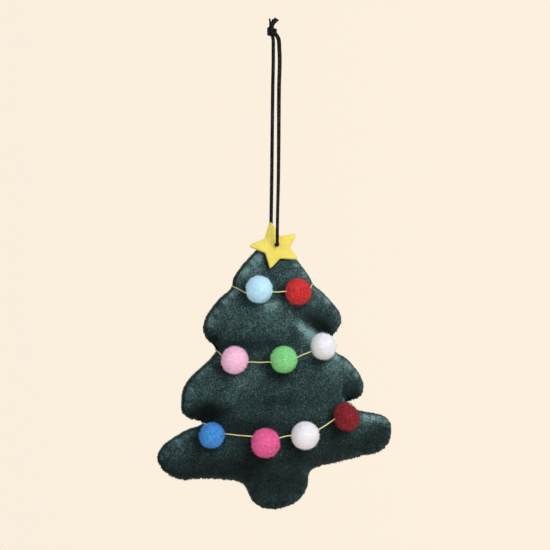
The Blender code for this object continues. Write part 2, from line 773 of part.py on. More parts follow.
def make_cord_knot(parent):
    """The overhand knot on the loop's crown that holds both strands."""
    centre = Vector((KNOT_X, 0, KNOT_HEIGHT))
    upright = Matrix.Rotation(math.pi / 2, 3, "X")
    name, stuff = "cord_knot", black_cord()
    make_knot(name, centre, KNOT_RADIUS, upright, KNOT_STEPS, stuff, (0, 0, 0), parent)


def make_tails(parent):
    """The two cut ends above the knot."""
    top = KNOT_HEIGHT + KNOT_RADIUS
    for name, side in (("cord_tail_left", -1), ("cord_tail_right", 1)):
        route = [
            (KNOT_X + side * CORD_DIAMETER * 0.65, 0, top),
            (KNOT_X + side * CORD_DIAMETER * 0.95, 0, top + CORD_DIAMETER),
            (KNOT_X + side * CORD_DIAMETER * 2.1, 0, top + CORD_DIAMETER * 2.4),
        ]
        line = smooth_through(route, CORD_DIAMETER)
        cord_object(name, line, CORD_DIAMETER, black_cord(), (0, 0, 0), parent)


def skin_search(side, sheet):
    """A search tree over one outer surface of the velvet."""
    skin, _, facing = tree_skin(side, sheet)
    return BVHTree.FromPolygons([Vector(p) for p in skin], facing.tolist())


def build():
    """Makes every piece in place."""
    clear_scene()
    loop = smooth_through([tree_place(*p) for p in OUTLINE_SHARES], TRIM_SPACING, True)
    hole_at = np.array([CORD_X, -LOOP_DROP])
    sheet = flat_mesh(loop, hole_at, HOLE_RADIUS, FIRST_RING, SURFACE_SPACING)
    front_tree, back_tree = skin_search(-1, sheet), skin_search(1, sheet)
    loop_top = axis_empty("loop_crown", (0, 0, 0))
    twist = axis_empty("twist_axis", CORD_HOLE, loop_top)
    swing = axis_empty("swing_axis", CORD_HOLE, twist)
    make_panel("front_panel", -1, sheet, swing)
    make_panel("back_panel", 1, sheet, swing)
    make_stuffing(sheet, swing)
    make_seam_thread(loop, swing)
    make_closing_stitches(loop, swing)
    star_at = make_star(front_tree, swing)
    for row in GARLAND_SHARES:
        make_garland(row, front_tree, back_tree, swing)
    make_cord_through(star_at, twist)
    front, back = cord_ends(star_at)
    make_strand("cord_front", -1, front, loop_top)
    make_strand("cord_rear", 1, back, loop_top)
    make_cord_knot(loop_top)
    make_tails(loop_top)


build()
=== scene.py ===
# %% [markdown]
# # A stuffed velvet Christmas tree with nine pom poms
# The tree hangs from a loop of black cord. It is two pieces of dark green velvet, sewn together
# round their edge, turned and stuffed. A felt star sits on its peak, and three gold threads
# carry the pom poms. Every soft piece here is worked out with arrays of numbers, because soft
# things have no flat faces or straight edges to start from. The working parts come first from
# the fixed frame, and each soft piece then takes the place of its plain solid.

# %% Tools and the fixed frame
import itertools
import json
import math

import bpy
import numpy as np
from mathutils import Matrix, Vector, geometry
from mathutils.bvhtree import BVHTree


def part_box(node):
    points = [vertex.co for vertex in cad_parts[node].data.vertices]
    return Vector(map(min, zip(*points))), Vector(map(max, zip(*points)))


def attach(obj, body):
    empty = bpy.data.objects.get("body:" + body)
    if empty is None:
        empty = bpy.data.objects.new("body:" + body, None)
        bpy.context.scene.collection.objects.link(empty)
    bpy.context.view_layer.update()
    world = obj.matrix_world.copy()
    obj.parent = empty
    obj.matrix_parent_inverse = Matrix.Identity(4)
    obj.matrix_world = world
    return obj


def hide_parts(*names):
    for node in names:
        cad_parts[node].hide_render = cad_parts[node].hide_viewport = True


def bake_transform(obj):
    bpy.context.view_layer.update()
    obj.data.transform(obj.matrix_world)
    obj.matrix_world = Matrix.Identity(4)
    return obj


MM = 0.001
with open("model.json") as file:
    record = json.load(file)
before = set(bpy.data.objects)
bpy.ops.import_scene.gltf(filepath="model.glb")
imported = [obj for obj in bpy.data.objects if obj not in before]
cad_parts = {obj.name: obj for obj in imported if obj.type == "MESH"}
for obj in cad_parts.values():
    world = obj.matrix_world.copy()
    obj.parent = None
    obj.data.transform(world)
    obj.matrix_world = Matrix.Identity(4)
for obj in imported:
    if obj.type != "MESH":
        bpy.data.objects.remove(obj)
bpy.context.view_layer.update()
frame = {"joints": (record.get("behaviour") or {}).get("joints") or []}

# %% [markdown]
# ## The camera
# The camera stands level with the tree, twelve degrees to its left. It is far away with a long
# lens, so near and far parts keep the same scale. One pixel of the 550 is 0.431 mm.

# %% The camera
PIXEL = 0.431 * MM
FRAME_PIXELS = 550
CAMERA_AWAY = 4.0
SENSOR = 36.0
TURN_LEFT = math.radians(12)
AIM_ASIDE, AIM_UP = -0.56 * MM, -101.9 * MM
sideways = np.array([math.cos(TURN_LEFT), -math.sin(TURN_LEFT), 0.0])
forward = np.array([math.sin(TURN_LEFT), math.cos(TURN_LEFT), 0.0])
looked_at = AIM_ASIDE * sideways + np.array([0, 0, AIM_UP])

camera_data = bpy.data.cameras.new("camera")
camera_data.sensor_width = SENSOR
camera_data.lens = SENSOR * CAMERA_AWAY / (FRAME_PIXELS * PIXEL)
camera_data.clip_start, camera_data.clip_end = 0.1, 100
camera = bpy.data.objects.new("camera", camera_data)
bpy.context.collection.objects.link(camera)
camera.location = looked_at - CAMERA_AWAY * forward
camera.rotation_euler = (math.radians(90), 0, -TURN_LEFT)
bpy.context.scene.camera = camera
bpy.context.scene.view_settings.view_transform = "Standard"
print("lens", round(camera_data.lens, 1), "mm")

# %% [markdown]
# ## Helpers for surfaces made of numbers
# A cord, a thread and a fibre are all a profile carried along a path. A velvet panel is a flat
# sheet of triangles whose heights are worked out. These helpers turn such arrays into meshes.


# %% Putting arrays into a mesh
def make_piece(name, points, faces, stuff, smooth=True):
    """An object at the origin. Its faces are an array of one corner count, or a list of any."""
    mesh = bpy.data.meshes.new(name)
    if isinstance(faces, list):
        mesh.from_pydata(np.asarray(points).tolist(), [], faces)
    else:
        count = faces.shape[1]
        mesh.vertices.add(len(points))
        mesh.vertices.foreach_set("co", np.asarray(points, np.float32).ravel())
        mesh.loops.add(faces.size)
        mesh.loops.foreach_set("vertex_index", faces.astype(np.int32).ravel())
        mesh.polygons.add(len(faces))
        mesh.polygons.foreach_set("loop_start", np.arange(0, faces.size, count, dtype=np.int32))
        mesh.update(calc_edges=True)
    mesh.materials.append(stuff)
    if smooth:
        mesh.shade_smooth()
    made = bpy.data.objects.new(name, mesh)
    bpy.context.collection.objects.link(made)
    return made


def keep_numbers(made, name, values):
    """Keeps one number for each point of a piece's mesh, for its material to read."""
    kept = made.data.attributes.new(name, "FLOAT", "POINT")
    kept.data.foreach_set("value", np.asarray(values, np.float32))


def keep_map(made, places):
    """Keeps a flat place for each point, as the map that the material reads and as a second map
    of the same places."""
    corner = np.empty(len(made.data.loops), np.int32)
    made.data.loops.foreach_get("vertex_index", corner)
    for name in ("fibre_map", "OFBake"):
        layer = made.data.uv_layers.new(name=name)
        layer.uv.foreach_set("vector", np.asarray(places, np.float32)[corner].ravel())


def unit(vectors):
    """Each row at length one."""
    return vectors / np.maximum(np.linalg.norm(vectors, axis=-1, keepdims=True), 1e-12)


# %% Soft random shapes
# Large odd numbers that scatter a lattice corner's place and the seed over all heights
SCATTER = (73856093, 19349663, 83492791)
SEED_SCATTER, LAST_SCATTER = 2654435761, 1274126177


def cloud(points, size, seed):
    """Value noise from -1 to 1: the corners of a lattice of cubes hold random heights, and a
    point takes the mix of its cube's eight corners, eased by 3t squared minus 2t cubed."""
    at = np.asarray(points, float) / size
    cell = np.floor(at).astype(np.int64)
    part = at - cell
    part = part * part * (3 - 2 * part)
    total = np.zeros(len(at))
    for corner in itertools.product((0, 1), repeat=3):
        key = cell + np.array(corner)
        mixed = key[:, 0] * SCATTER[0] ^ key[:, 1] * SCATTER[1] ^ key[:, 2] * SCATTER[2]
        mixed = (mixed ^ (seed * SEED_SCATTER)) & 0xFFFFFFFF
        mixed = ((mixed ^ (mixed >> 13)) * LAST_SCATTER) & 0xFFFFFFFF
        height = ((mixed ^ (mixed >> 16)) & 0xFFFF) / 32767.5 - 1
        total += height * np.prod(np.where(corner, part, 1 - part), axis=1)
    return total


def layered(points, clouds):
    """The sum of several clouds, each given as its strength, its size and its seed."""
    return sum(strength * cloud(points, size, seed) for strength, size, seed in clouds)


# %% Curves
CURVE_STEPS = 24


def smooth_through(points, spacing, closed=False):
    """Evenly spaced points on a smooth curve through the given ones: between two of them, a
    cubic that leaves and arrives along the slope weighed by the lengths on either side."""
    points = np.asarray(points, float)
    if closed:
        points = np.concatenate([points[-1:], points, points[:2]])
    else:
        before, after = 2 * points[:1] - points[1:2], 2 * points[-1:] - points[-2:-1]
        points = np.concatenate([before, points, after])
    span = np.linalg.norm(np.diff(points, axis=0), axis=1)[:, None]
    slope = np.diff(points, axis=0) / span
    tangent = (slope[:-1] * span[1:] + slope[1:] * span[:-1]) / (span[1:] + span[:-1])
    start, end, reach = points[1:-2], points[2:-1], span[1:-1]
    t = np.linspace(0, 1, CURVE_STEPS, endpoint=False)[:, None, None]
    ease = t * t * (3 - 2 * t)
    leave, arrive = t * (1 - t) ** 2 * reach, t * t * (t - 1) * reach
    dense = start * (1 - ease) + end * ease + leave * tangent[:-1] + arrive * tangent[1:]
    dense = dense.transpose(1, 0, 2).reshape(-1, points.shape[1])
    dense = np.concatenate([dense, points[-2:-1]])
    along = np.concatenate([[0], np.cumsum(np.linalg.norm(np.diff(dense, axis=0), axis=1))])
    places = np.linspace(0, along[-1], max(2, round(along[-1] / spacing)) + 1)
    if closed:
        places = places[:-1]
    return np.stack([np.interp(places, along, column) for column in dense.T], 1)


def path_length(path):
    """The sum of a path's steps."""
    return float(np.linalg.norm(np.diff(path, axis=0), axis=1).sum())


def directions_along(path, side, closed=False):
    """The tangent at each station of a path, and two directions square to it. The side is
    carried from one station to the next with as little turn as can be."""
    if closed:
        tangent = unit(np.roll(path, -1, 0) - np.roll(path, 1, 0))
    else:
        tangent = unit(np.gradient(path, axis=0))
    sides = np.empty_like(tangent)
    side = np.asarray(side, float)
    for station, ahead in enumerate(tangent):
        side = side - (side @ ahead) * ahead
        side /= np.linalg.norm(side)
        sides[station] = side
    return tangent, sides, np.cross(tangent, sides)


def around_path(turns):
    """Evenly spaced turns about a path, from nought to just short of a full one."""
    return np.arange(turns) * 2 * math.pi / turns


# %% Tubes and bags
def tube(path, radii, side=(1, 0, 0), closed=False):
    """A profile carried along a path. radii holds, for each station, how far the surface
    stands from the path at evenly spaced turns about it. Open ends are closed flat."""
    tangent, across, up = directions_along(path, side, closed)
    stations, turns = radii.shape
    angle = around_path(turns)
    ring = np.cos(angle)[:, None] * across[:, None] + np.sin(angle)[:, None] * up[:, None]
    points = (path[:, None] + radii[..., None] * ring).reshape(-1, 3)
    rows = np.arange(stations if closed else stations - 1)
    a = rows[:, None] * turns + np.arange(turns)
    b = rows[:, None] * turns + np.roll(np.arange(turns), -1)
    c, d = (b + turns) % (stations * turns), (a + turns) % (stations * turns)
    faces = np.stack([a, b, c, d], -1).reshape(-1, 4).tolist()
    if not closed:
        faces.append(list(range(turns))[::-1])
        faces.append(list(range((stations - 1) * turns, stations * turns)))
    return points, faces


def closed_bag(triangles, count):
    """Two equal sheets as one closed skin. The second sheet's points follow the first's count,
    its triangles are turned round, and walls join the rims and the holes."""
    pairs = np.concatenate([triangles[:, [0, 1]], triangles[:, [1, 2]], triangles[:, [2, 0]]])
    lone = ~np.isin(pairs[:, 0] * count + pairs[:, 1], pairs[:, 1] * count + pairs[:, 0])
    a, b = pairs[lone].T
    walls = np.concatenate([np.stack([b, a, a + count], 1), np.stack([b, a + count, b + count], 1)])
    return np.concatenate([triangles, triangles[:, ::-1] + count, walls])


def ringed(line):
    """A loop of points with its first one once more at its end."""
    return np.concatenate([line, line[:1]])


def raised(flat, y):
    """Flat places as places in space, at a y of one value or of one for each."""
    return np.stack([flat[:, 0], np.full(len(flat), y), flat[:, 1]], 1)


def middle_of(node):
    """The middle of a solid's box: half the sum of its two corners."""
    low, high = (np.array(corner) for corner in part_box(node))
    return (low + high) / 2


def rounded_ends(stations, spacing, radius):
    """A share for each station that falls to a tenth over the last radius, as an arc does."""
    from_end = np.minimum(np.arange(stations), np.arange(stations)[::-1]) * spacing
    share = np.clip(from_end / radius, 0, 1)
    return np.maximum(np.sqrt(1 - (1 - share) ** 2), 0.1)


def join(parts):
    """Several (points, faces) as one."""
    points, faces, count = [], [], 0
    for more_points, more_faces in parts:
        points.append(more_points)
        faces += [[corner + count for corner in face] for face in more_faces]
        count += len(more_points)
    return np.concatenate(points), faces


print("helpers ready")

# %% [markdown]
# ## Materials
# Fibres decide how all of these look. Velvet, felt and wool scatter light from thousands of
# hairs, so they get a little sheen, broken colour and a fine bump. Each shared effect is a node
# group that gives only a colour or a height, and the shader itself stays in the material.


# %% Small helpers for node trees
def add_node(tree, kind, inputs=None, **settings):
    """A node of a kind, with its settings, and a value or a link for each of its inputs."""
    node = tree.nodes.new(kind)
    for name, value in settings.items():
        setattr(node, name, value)
    for name, value in (inputs or {}).items():
        if isinstance(value, bpy.types.NodeSocket):
            tree.links.new(value, node.inputs[name])
        else:
            node.inputs[name].default_value = value
    return node


def worked_out(tree, operation, first, second):
    """The result of one step of arithmetic on two numbers or sockets."""
    return add_node(tree, "ShaderNodeMath", {0: first, 1: second}, operation=operation).outputs[0]


def new_group(name, inputs, outputs):
    """An empty node group, whose sockets are all numbers, and its input and output nodes."""
    tree = bpy.data.node_groups.new(name, "ShaderNodeTree")
    for way, labels in (("INPUT", inputs), ("OUTPUT", outputs)):
        for label in labels:
            tree.interface.new_socket(label, in_out=way, socket_type="NodeSocketFloat")
    return tree, tree.nodes.new("NodeGroupInput"), tree.nodes.new("NodeGroupOutput")


def new_material(name, **values):
    """A material with its shader, and constants set on the shader's own sockets."""
    made = bpy.data.materials.new(name)
    made.use_nodes = True
    shader = made.node_tree.nodes["Principled BSDF"]
    for label, value in values.items():
        shader.inputs[label.replace("_", " ")].default_value = value
    return made, made.node_tree, shader


def put_bump(tree, shader, height, distance):
    """Fine relief from a height, on the shader's normal."""
    bump = add_node(tree, "ShaderNodeBump", {"Height": height, "Distance": distance})
    tree.links.new(bump.outputs["Normal"], shader.inputs["Normal"])


def three_tones(dark, mid, light):
    """A colour at tone 0, 0.5 and 1, for a ramp."""
    return [(0.0, (*dark, 1)), (0.5, (*mid, 1)), (1.0, (*light, 1))]


def add_ramp(tree, fac, stops):
    """A colour that goes through the stops' colours as fac goes through their places."""
    node = add_node(tree, "ShaderNodeValToRGB", {"Fac": fac})
    elements = node.color_ramp.elements
    while len(elements) < len(stops):
        elements.new(0.5)
    for element, (place, colour) in zip(elements, stops):
        element.position = place
        element.color = colour
    return node.outputs["Color"]


# %% Speckled fibre: the shared look of cloth made of short hairs
BROAD_TIMES = 9.0


def speckle_group():
    """A tone and a height. The tone is the given one, plus for a fine noise and one nine times
    as broad their amount times (noise - 0.5). The height is the fine noise."""
    labels = ("Tone", "Grain", "Fine", "Broad")
    tree, given, out = new_group("speckled fibre", labels, ("Tone", "Height"))
    place = add_node(tree, "ShaderNodeTexCoord").outputs["Object"]
    fine_scale = given.outputs["Grain"]
    broad_scale = worked_out(tree, "DIVIDE", fine_scale, BROAD_TIMES)
    total = given.outputs["Tone"]
    # The fine noise comes last, so it is the one that is left as the height
    for label, scale in (("Broad", broad_scale), ("Fine", fine_scale)):
        inputs = {"Vector": place, "Scale": scale, "Detail": 2.0}
        noise = add_node(tree, "ShaderNodeTexNoise", inputs).outputs["Fac"]
        centred = worked_out(tree, "SUBTRACT", noise, 0.5)
        scaled = worked_out(tree, "MULTIPLY", centred, given.outputs[label])
        total = worked_out(tree, "ADD", total, scaled)
    tree.links.new(total, out.inputs["Tone"])
    tree.links.new(noise, out.inputs["Height"])
    return tree


SPECKLE = speckle_group()


def fibre_material(name, tones, grain, fine, broad, relief, tone=None, **values):
    """A cloth whose colour goes through its tones by the speckle. The tone is 0.5 all over,
    or comes from a number kept on the mesh. Grain is the size of the finest speckle."""
    made, tree, shader = new_material(name, **values)
    start = 0.5
    if tone:
        start = add_node(tree, "ShaderNodeAttribute", attribute_name=tone).outputs["Fac"]
    inputs = {"Tone": start, "Grain": 1 / grain, "Fine": fine, "Broad": broad}
    speckle = add_node(tree, "ShaderNodeGroup", inputs, node_tree=SPECKLE)
    colour = add_ramp(tree, speckle.outputs["Tone"], tones)
    tree.links.new(colour, shader.inputs["Base Color"])
    put_bump(tree, shader, speckle.outputs["Height"], relief)
    return made


def hair_material(name, tones, **values):
    """The colour of single hairs: the tones by the hair's own tone, across its map."""
    made, tree, shader = new_material(name, **values)
    place = add_node(tree, "ShaderNodeUVMap", uv_map="fibre_map").outputs["UV"]
    apart = add_node(tree, "ShaderNodeSeparateXYZ", {"Vector": place})
    tree.links.new(add_ramp(tree, apart.outputs["X"], tones), shader.inputs["Base Color"])
    return made


# %% The cloths and threads
VELVET_TONES = three_tones((0.002, 0.005, 0.005), (0.018, 0.037, 0.037), (0.128, 0.232, 0.232))
# The lightest hairs are painted as catching the light, a painted highlight, so the ramp's last part
# rises faster
VELVET_TONES[-1:] = [(0.88, (0.102, 0.185, 0.185, 1)), (1.0, (0.21, 0.34, 0.34, 1))]
SHEEN = {"Sheen_Weight": 0.3, "Sheen_Roughness": 0.4, "Sheen_Tint": (0.35, 0.6, 0.6, 1)}
# The velvet's tone is the number kept on its panels: the pile's own patches and painted light and
# shade
velvet = fibre_material(
    "green velvet", VELVET_TONES, grain=0.55 * MM, fine=1.5, broad=0.4, relief=0.25 * MM,
    tone="nap_and_painted_light", Roughness=0.9, Specular_IOR_Level=0.1, **SHEEN,
)
velvet_pile = hair_material(
    "green velvet pile", VELVET_TONES, Roughness=0.8, Specular_IOR_Level=0.2, **SHEEN
)
CORD_TONES = three_tones((0.001, 0.001, 0.001), (0.002, 0.002, 0.0024), (0.05, 0.05, 0.055))
black_cord = fibre_material(
    "black cord", CORD_TONES, grain=0.35 * MM, fine=2.6, broad=0.5, relief=0.12 * MM,
    Roughness=0.7, Specular_IOR_Level=0.08,
)
FELT_TONES = three_tones((0.55, 0.43, 0.06), (0.77, 0.64, 0.125), (0.9, 0.8, 0.25))
yellow_felt = fibre_material(
    "yellow felt", FELT_TONES, grain=0.35 * MM, fine=0.7, broad=0.5, relief=0.12 * MM,
    Roughness=0.95, Specular_IOR_Level=0.1, Sheen_Weight=0.15,
)
felt_hair = hair_material("yellow felt hair", FELT_TONES, Roughness=0.95)
GOLD_TONES = three_tones((0.36, 0.32, 0.08), (0.74, 0.7, 0.27), (0.97, 0.95, 0.6))
gold_thread = fibre_material(
    "gold thread", GOLD_TONES, grain=0.25 * MM, fine=1.2, broad=0.4, relief=0.03 * MM,
    Roughness=0.38, Metallic=0.35, Specular_IOR_Level=0.5,
)
SEWING_TONES = three_tones((0.003, 0.008, 0.008), (0.01, 0.026, 0.024), (0.03, 0.06, 0.055))
sewing_thread = fibre_material(
    "dark sewing thread", SEWING_TONES, grain=0.2 * MM, fine=0.8, broad=0.3, relief=0.03 * MM,
    Roughness=0.7,
)
FILLING_TONES = three_tones((0.6, 0.6, 0.58), (0.8, 0.8, 0.78), (0.92, 0.92, 0.9))
white_filling = fibre_material(
    "white filling", FILLING_TONES, grain=0.8 * MM, fine=0.9, broad=0.4, relief=0.3 * MM,
    Roughness=0.95,
)
print("materials", len(bpy.data.materials))

# %% [markdown]
# ## The hanging cord
# The loop is one length of round black braided cord, 1.5 mm thick. It comes out of the middle
# of the star, runs up to an overhand knot that ties it to the other strand, and goes down from
# there to the back of the peak. The two strands stand apart where a hanger goes between them.
# The cord hangs taut, so each strand is nearly straight. A curve with a round bevel would do,
# but a braid shows rows of small humps, so each strand is a tube whose radius carries them.

# %% Sizes of the cord
CORD = 1.5 * MM
LOOP_OPEN = 9.5 * MM
DROP = 89.0 * MM
CORD_X = -1.2 * MM
BEND = 1.2 * MM
KNOT_AT = np.array([-1.9, 0.0, 3.1]) * MM
# The run through the star and the peak: its ends, and the gap from them to the strands
RUN_FRONT, RUN_BACK = -7.1043 * MM, 3.3 * MM
STRAND_GAP = 0.3 * MM
# How far the front strand leans aside as it turns up, and how thin the felt squeezes the run
SHIFT, SQUEEZED = 0.3 * MM, 0.8
# A strand's thickness at its foot and at its tip. The front one swells towards the knot
STRAND_ENDS = {"front": (0.88, 1.2), "rear": (1.03, 1.03)}
BRAID_PITCH, BRAID_SIDES = 2.2 * MM, 16
CORD_STEP, KNOT_STEP = 0.25 * MM, 0.2 * MM
cord_hole = np.array([CORD_X, 0, -DROP])
print("cord hangs", round(DROP / MM), "mm down to its hole")


# %% The braid and the strands' routes
def braided(path, tip=1.0, foot=1.0):
    """A cord along a path. Its radius is R(0.97 + 0.09 cos(4a + ks) cos(4a - ks)), where a is
    the turn round it and s the way along, so its humps lie like a braid's. It grows or thins
    evenly from foot to tip times its thickness."""
    spacing = path_length(path) / (len(path) - 1)
    turn = around_path(BRAID_SIDES)
    along = 2 * math.pi * (np.arange(len(path)) * spacing)[:, None] / BRAID_PITCH
    humps = np.cos(4 * turn + along) * np.cos(4 * turn - along)
    radii = CORD / 2 * (0.97 + 0.09 * humps) * np.linspace(foot, tip, len(path))[:, None]
    radii = radii * rounded_ends(len(path), spacing, CORD / 4)[:, None]
    return tube(path, radii)


def strand_route(side, near):
    """One strand's places: straight out of the hole, a quarter turn up, then to the knot."""
    angle = np.linspace(0, math.pi / 2, 6)
    out = CORD / 3 + BEND * np.sin(angle)
    start = np.array([CORD_X, near + side * STRAND_GAP, -DROP])
    bend = start + np.stack([0 * out, side * out, BEND * (1 - np.cos(angle))], 1)
    bend[:, 0] -= (SHIFT if side < 0 else 0) * (1 - np.cos(angle))
    y, beside = bend[-1, 1], side * (LOOP_OPEN / 2 + CORD)
    route = [
        start, *bend, bend[-1] + (0, 0, CORD),
        (CORD_X * 0.65, y * 0.65 + beside * 0.35, -DROP * 0.65),
        (CORD_X * 0.25, y * 0.25 + beside * 0.75, -DROP * 0.25),
        (0, beside, -LOOP_OPEN * 0.5),
        (KNOT_AT[0] * 0.15, beside * 0.85, 0),
        (KNOT_AT[0] * 0.55, beside * 0.56, KNOT_AT[2] * 0.55),
        (KNOT_AT[0], side * CORD * 1.1, KNOT_AT[2] * 0.75),
    ]
    return smooth_through(route, CORD_STEP)


strands = {}
for name, side, near in (("front", -1, RUN_FRONT), ("rear", 1, RUN_BACK)):
    path = strand_route(side, near)
    foot, tip = STRAND_ENDS[name]
    strand = make_piece(f"loop_{name}", *braided(path, tip, foot), black_cord)
    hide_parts(f"cord_{name}")
    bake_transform(strand)
    strands[name] = (strand, path)
    print(name, "strand", round(path_length(path) / MM, 1), "mm")

# The run reaches into both strands' ends, and the felt squeezes its front end
run_ends = (RUN_FRONT - STRAND_GAP - CORD / 3, RUN_BACK + STRAND_GAP + CORD / 3)
run_path = smooth_through([(CORD_X, y, -DROP) for y in run_ends], CORD_STEP)
thick = STRAND_ENDS["rear"][0]
cord_run = make_piece("loop_through", *braided(run_path, thick, SQUEEZED), black_cord)
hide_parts("cord_through")
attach(cord_run, "cord_run")

# %% [markdown]
# ## The knot at the top of the loop
# Both strands are tied together in one overhand knot, and their cut ends stand up above it.
# An overhand knot is a wrap round the strands' own middle, so the knot is two cords side by
# side that come in from below, go once and a half round, tuck under and leave at the top.


# %% The knot
# The wrap's places, turns, first angle, reach and rise, and where the cord tucks under it
WRAP_PLACES, WRAP_TURNS, WRAP_FROM = 12, 1.45, math.radians(-120)
WRAP_REACH, WRAP_FLAT, WRAP_RISE = 1.47 * MM, 0.92, (-0.85, 0.9)
TUCK = np.array([[0.1, 0.5, -1.25], [0.25, -0.1, 0.2]]) * MM
# Each of the two cords: how far it lies up from the middle, and where it enters the knot
KNOT_CORDS = ((-0.5 * MM, (0.2, -1.5, -1.1)), (0.5 * MM, (0.1, 1.5, -1.2)))


def knot_route(offset, entry):
    """A cord through the knot: from its entry, round the middle in a rising wrap of one and a
    half turns, then under the wrap and up through the middle. Places are from the middle."""
    angle = WRAP_FROM - np.linspace(0, WRAP_TURNS, WRAP_PLACES) * 2 * math.pi
    lift = np.linspace(*WRAP_RISE, WRAP_PLACES) * MM + offset
    wrap = [WRAP_REACH * np.cos(angle), WRAP_REACH * np.sin(angle) * WRAP_FLAT, lift]
    under = TUCK + (offset * 0.5, 0, 0)
    return np.concatenate([entry[None], np.stack(wrap, 1), under])


knot_parts = []
for offset, entry in KNOT_CORDS:
    route = knot_route(offset, np.array(entry) * MM)
    knot_parts.append(braided(smooth_through(KNOT_AT + route, KNOT_STEP)))
knot = make_piece("loop_knot", *join(knot_parts), black_cord)
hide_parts("cord_knot")
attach(knot, "hanging_loop")

# %% The cut ends
# How thick each ply starts and ends, and its places. The right end has frayed into three
TAILS = {
    "left": [
        (1.1, 0.4, ((-0.3, 0.6, 1.2), (-0.5, 0.6, 2.6), (-0.7, 0.3, 4.0), (-1.1, 0.2, 5.7))),
    ],
    "right": [
        (0.9, 0.6, ((0.0, -0.5, 1.2), (0.1, -0.6, 2.4), (0.15, -0.5, 3.9), (0.5, -0.3, 5.4))),
        (0.8, 0.75, ((0.1, -0.3, 1.2), (0.3, -0.3, 2.4), (0.75, -0.3, 3.9), (1.6, -0.2, 5.9))),
        (0.7, 0.75, ((0.2, -0.1, 1.2), (0.4, -0.1, 2.6), (1.3, -0.1, 3.9), (2.8, 0.0, 5.2))),
    ],
}
tails = []
for name, plies in TAILS.items():
    parts = []
    for foot, tip, places in plies:
        path = smooth_through(KNOT_AT + np.array(places) * MM, KNOT_STEP)
        parts.append(braided(path, tip, foot))
    tail = make_piece(f"tail_{name}", *join(parts), black_cord)
    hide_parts(f"cord_tail_{name}")
    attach(tail, "hanging_loop")
    tails.append(tail)

for name, other in (("front", [knot, tails[0]]), ("rear", [tails[1]])):
    strand, path = strands[name]
print("cord ends", len(tails))

# %% [markdown]
# ## The velvet tree
# The real tree is cut flat from velvet, sewn, turned right side out and stuffed, so its shape
# is what a flat bag of this outline takes when it is filled. A soap film over the same outline,
# pushed by even air, has nearly that form, and the square root of its height gives the round
# shoulder that cloth has beside its seam. Modelling the lumps by hand would lose that link
# between outline and bulge. The film is solved on a flat sheet of triangles. The folds that run
# in from the notches, and the dents of the tight threads, are then taken out of its height.

# %% The outline and the folds
TREE_WIDTH, TREE_HEIGHT = 102.7 * MM, 116.6 * MM
MIDDLE_X, PEAK_Z = -0.8 * MM, -85.8 * MM
SEAM_HALF = 0.3 * MM
SWELL = 14.7 * MM
PANEL = 1.0 * MM
HOLE_RADIUS = 1.05 * MM
# How far apart the sheet's points lie, and how far in from the seam its rings of points do
SHEET_STEP = 0.9 * MM
EDGE_RINGS = [0.3 * MM, 0.75 * MM, 1.4 * MM, 2.2 * MM]
# Shares of the tree's width from its middle, and of its height from the peak, round the edge
OUTLINE_SHARES = [
    (-0.011, 0.0), (0.028, 0.018), (0.06, 0.048), (0.092, 0.081), (0.127, 0.12), (0.152, 0.153),
    (0.161, 0.172), (0.195, 0.196), (0.242, 0.238), (0.281, 0.285), (0.285, 0.307), (0.273, 0.335),
    (0.249, 0.36), (0.238, 0.392), (0.264, 0.427), (0.303, 0.445), (0.337, 0.475), (0.367, 0.512),
    (0.381, 0.553), (0.367, 0.586), (0.324, 0.601), (0.303, 0.608), (0.315, 0.623), (0.354, 0.638),
    (0.427, 0.651), (0.47, 0.662), (0.496, 0.686), (0.5, 0.715), (0.485, 0.763), (0.457, 0.786),
    (0.363, 0.808), (0.26, 0.83), (0.187, 0.845), (0.15, 0.861), (0.142, 0.882), (0.141, 0.911),
    (0.122, 0.948), (0.088, 0.978), (0.049, 0.993), (0.002, 1.0), (-0.058, 0.993), (-0.094, 0.969),
    (-0.118, 0.926), (-0.135, 0.906), (-0.17, 0.896), (-0.242, 0.889), (-0.32, 0.887),
    (-0.406, 0.889), (-0.448, 0.874), (-0.483, 0.847), (-0.5, 0.811), (-0.479, 0.771),
    (-0.427, 0.736), (-0.363, 0.706), (-0.322, 0.695), (-0.305, 0.684), (-0.32, 0.674),
    (-0.363, 0.665), (-0.391, 0.647), (-0.397, 0.608), (-0.388, 0.556), (-0.358, 0.516),
    (-0.307, 0.475), (-0.268, 0.444), (-0.249, 0.414), (-0.26, 0.396), (-0.288, 0.373),
    (-0.303, 0.342), (-0.294, 0.298), (-0.268, 0.261), (-0.225, 0.218), (-0.191, 0.194),
    (-0.178, 0.179), (-0.176, 0.157), (-0.144, 0.111), (-0.109, 0.076), (-0.075, 0.044),
    (-0.041, 0.013),
]
# Each fold: its depth and width at the notch, and the line it takes from there
FRONT_FOLDS = [
    (4.2 * MM, 4.4 * MM,
     [(0.243, 0.395), (0.187, 0.353), (0.135, 0.325), (0.1, 0.303), (0.04, 0.272)]),
    (2.8 * MM, 3.4 * MM, [(-0.255, 0.414), (-0.187, 0.393), (-0.129, 0.398)]),
    (4.4 * MM, 3.2 * MM, [(0.308, 0.61), (0.277, 0.575), (0.283, 0.542), (0.314, 0.518)]),
    (2.8 * MM, 1.8 * MM, [(-0.315, 0.686), (-0.304, 0.65), (-0.31, 0.6)]),
    (1.6 * MM, 1.8 * MM, [(0.2, 0.36), (0.194, 0.335), (0.188, 0.312)]),
    (2.6 * MM, 2.2 * MM, [(-0.285, 0.688), (-0.268, 0.65), (-0.272, 0.595)]),
]
BACK_FOLDS = [
    (2.6 * MM, 3.4 * MM, [(0.243, 0.395), (0.17, 0.38), (0.12, 0.375)]),
    (2.4 * MM, 3.4 * MM, [(-0.255, 0.414), (-0.187, 0.403), (-0.139, 0.4)]),
    (2.8 * MM, 3.0 * MM, [(0.308, 0.61), (0.25, 0.6), (0.2, 0.598)]),
    (2.6 * MM, 3.2 * MM, [(-0.31, 0.686), (-0.25, 0.672), (-0.21, 0.66)]),
]


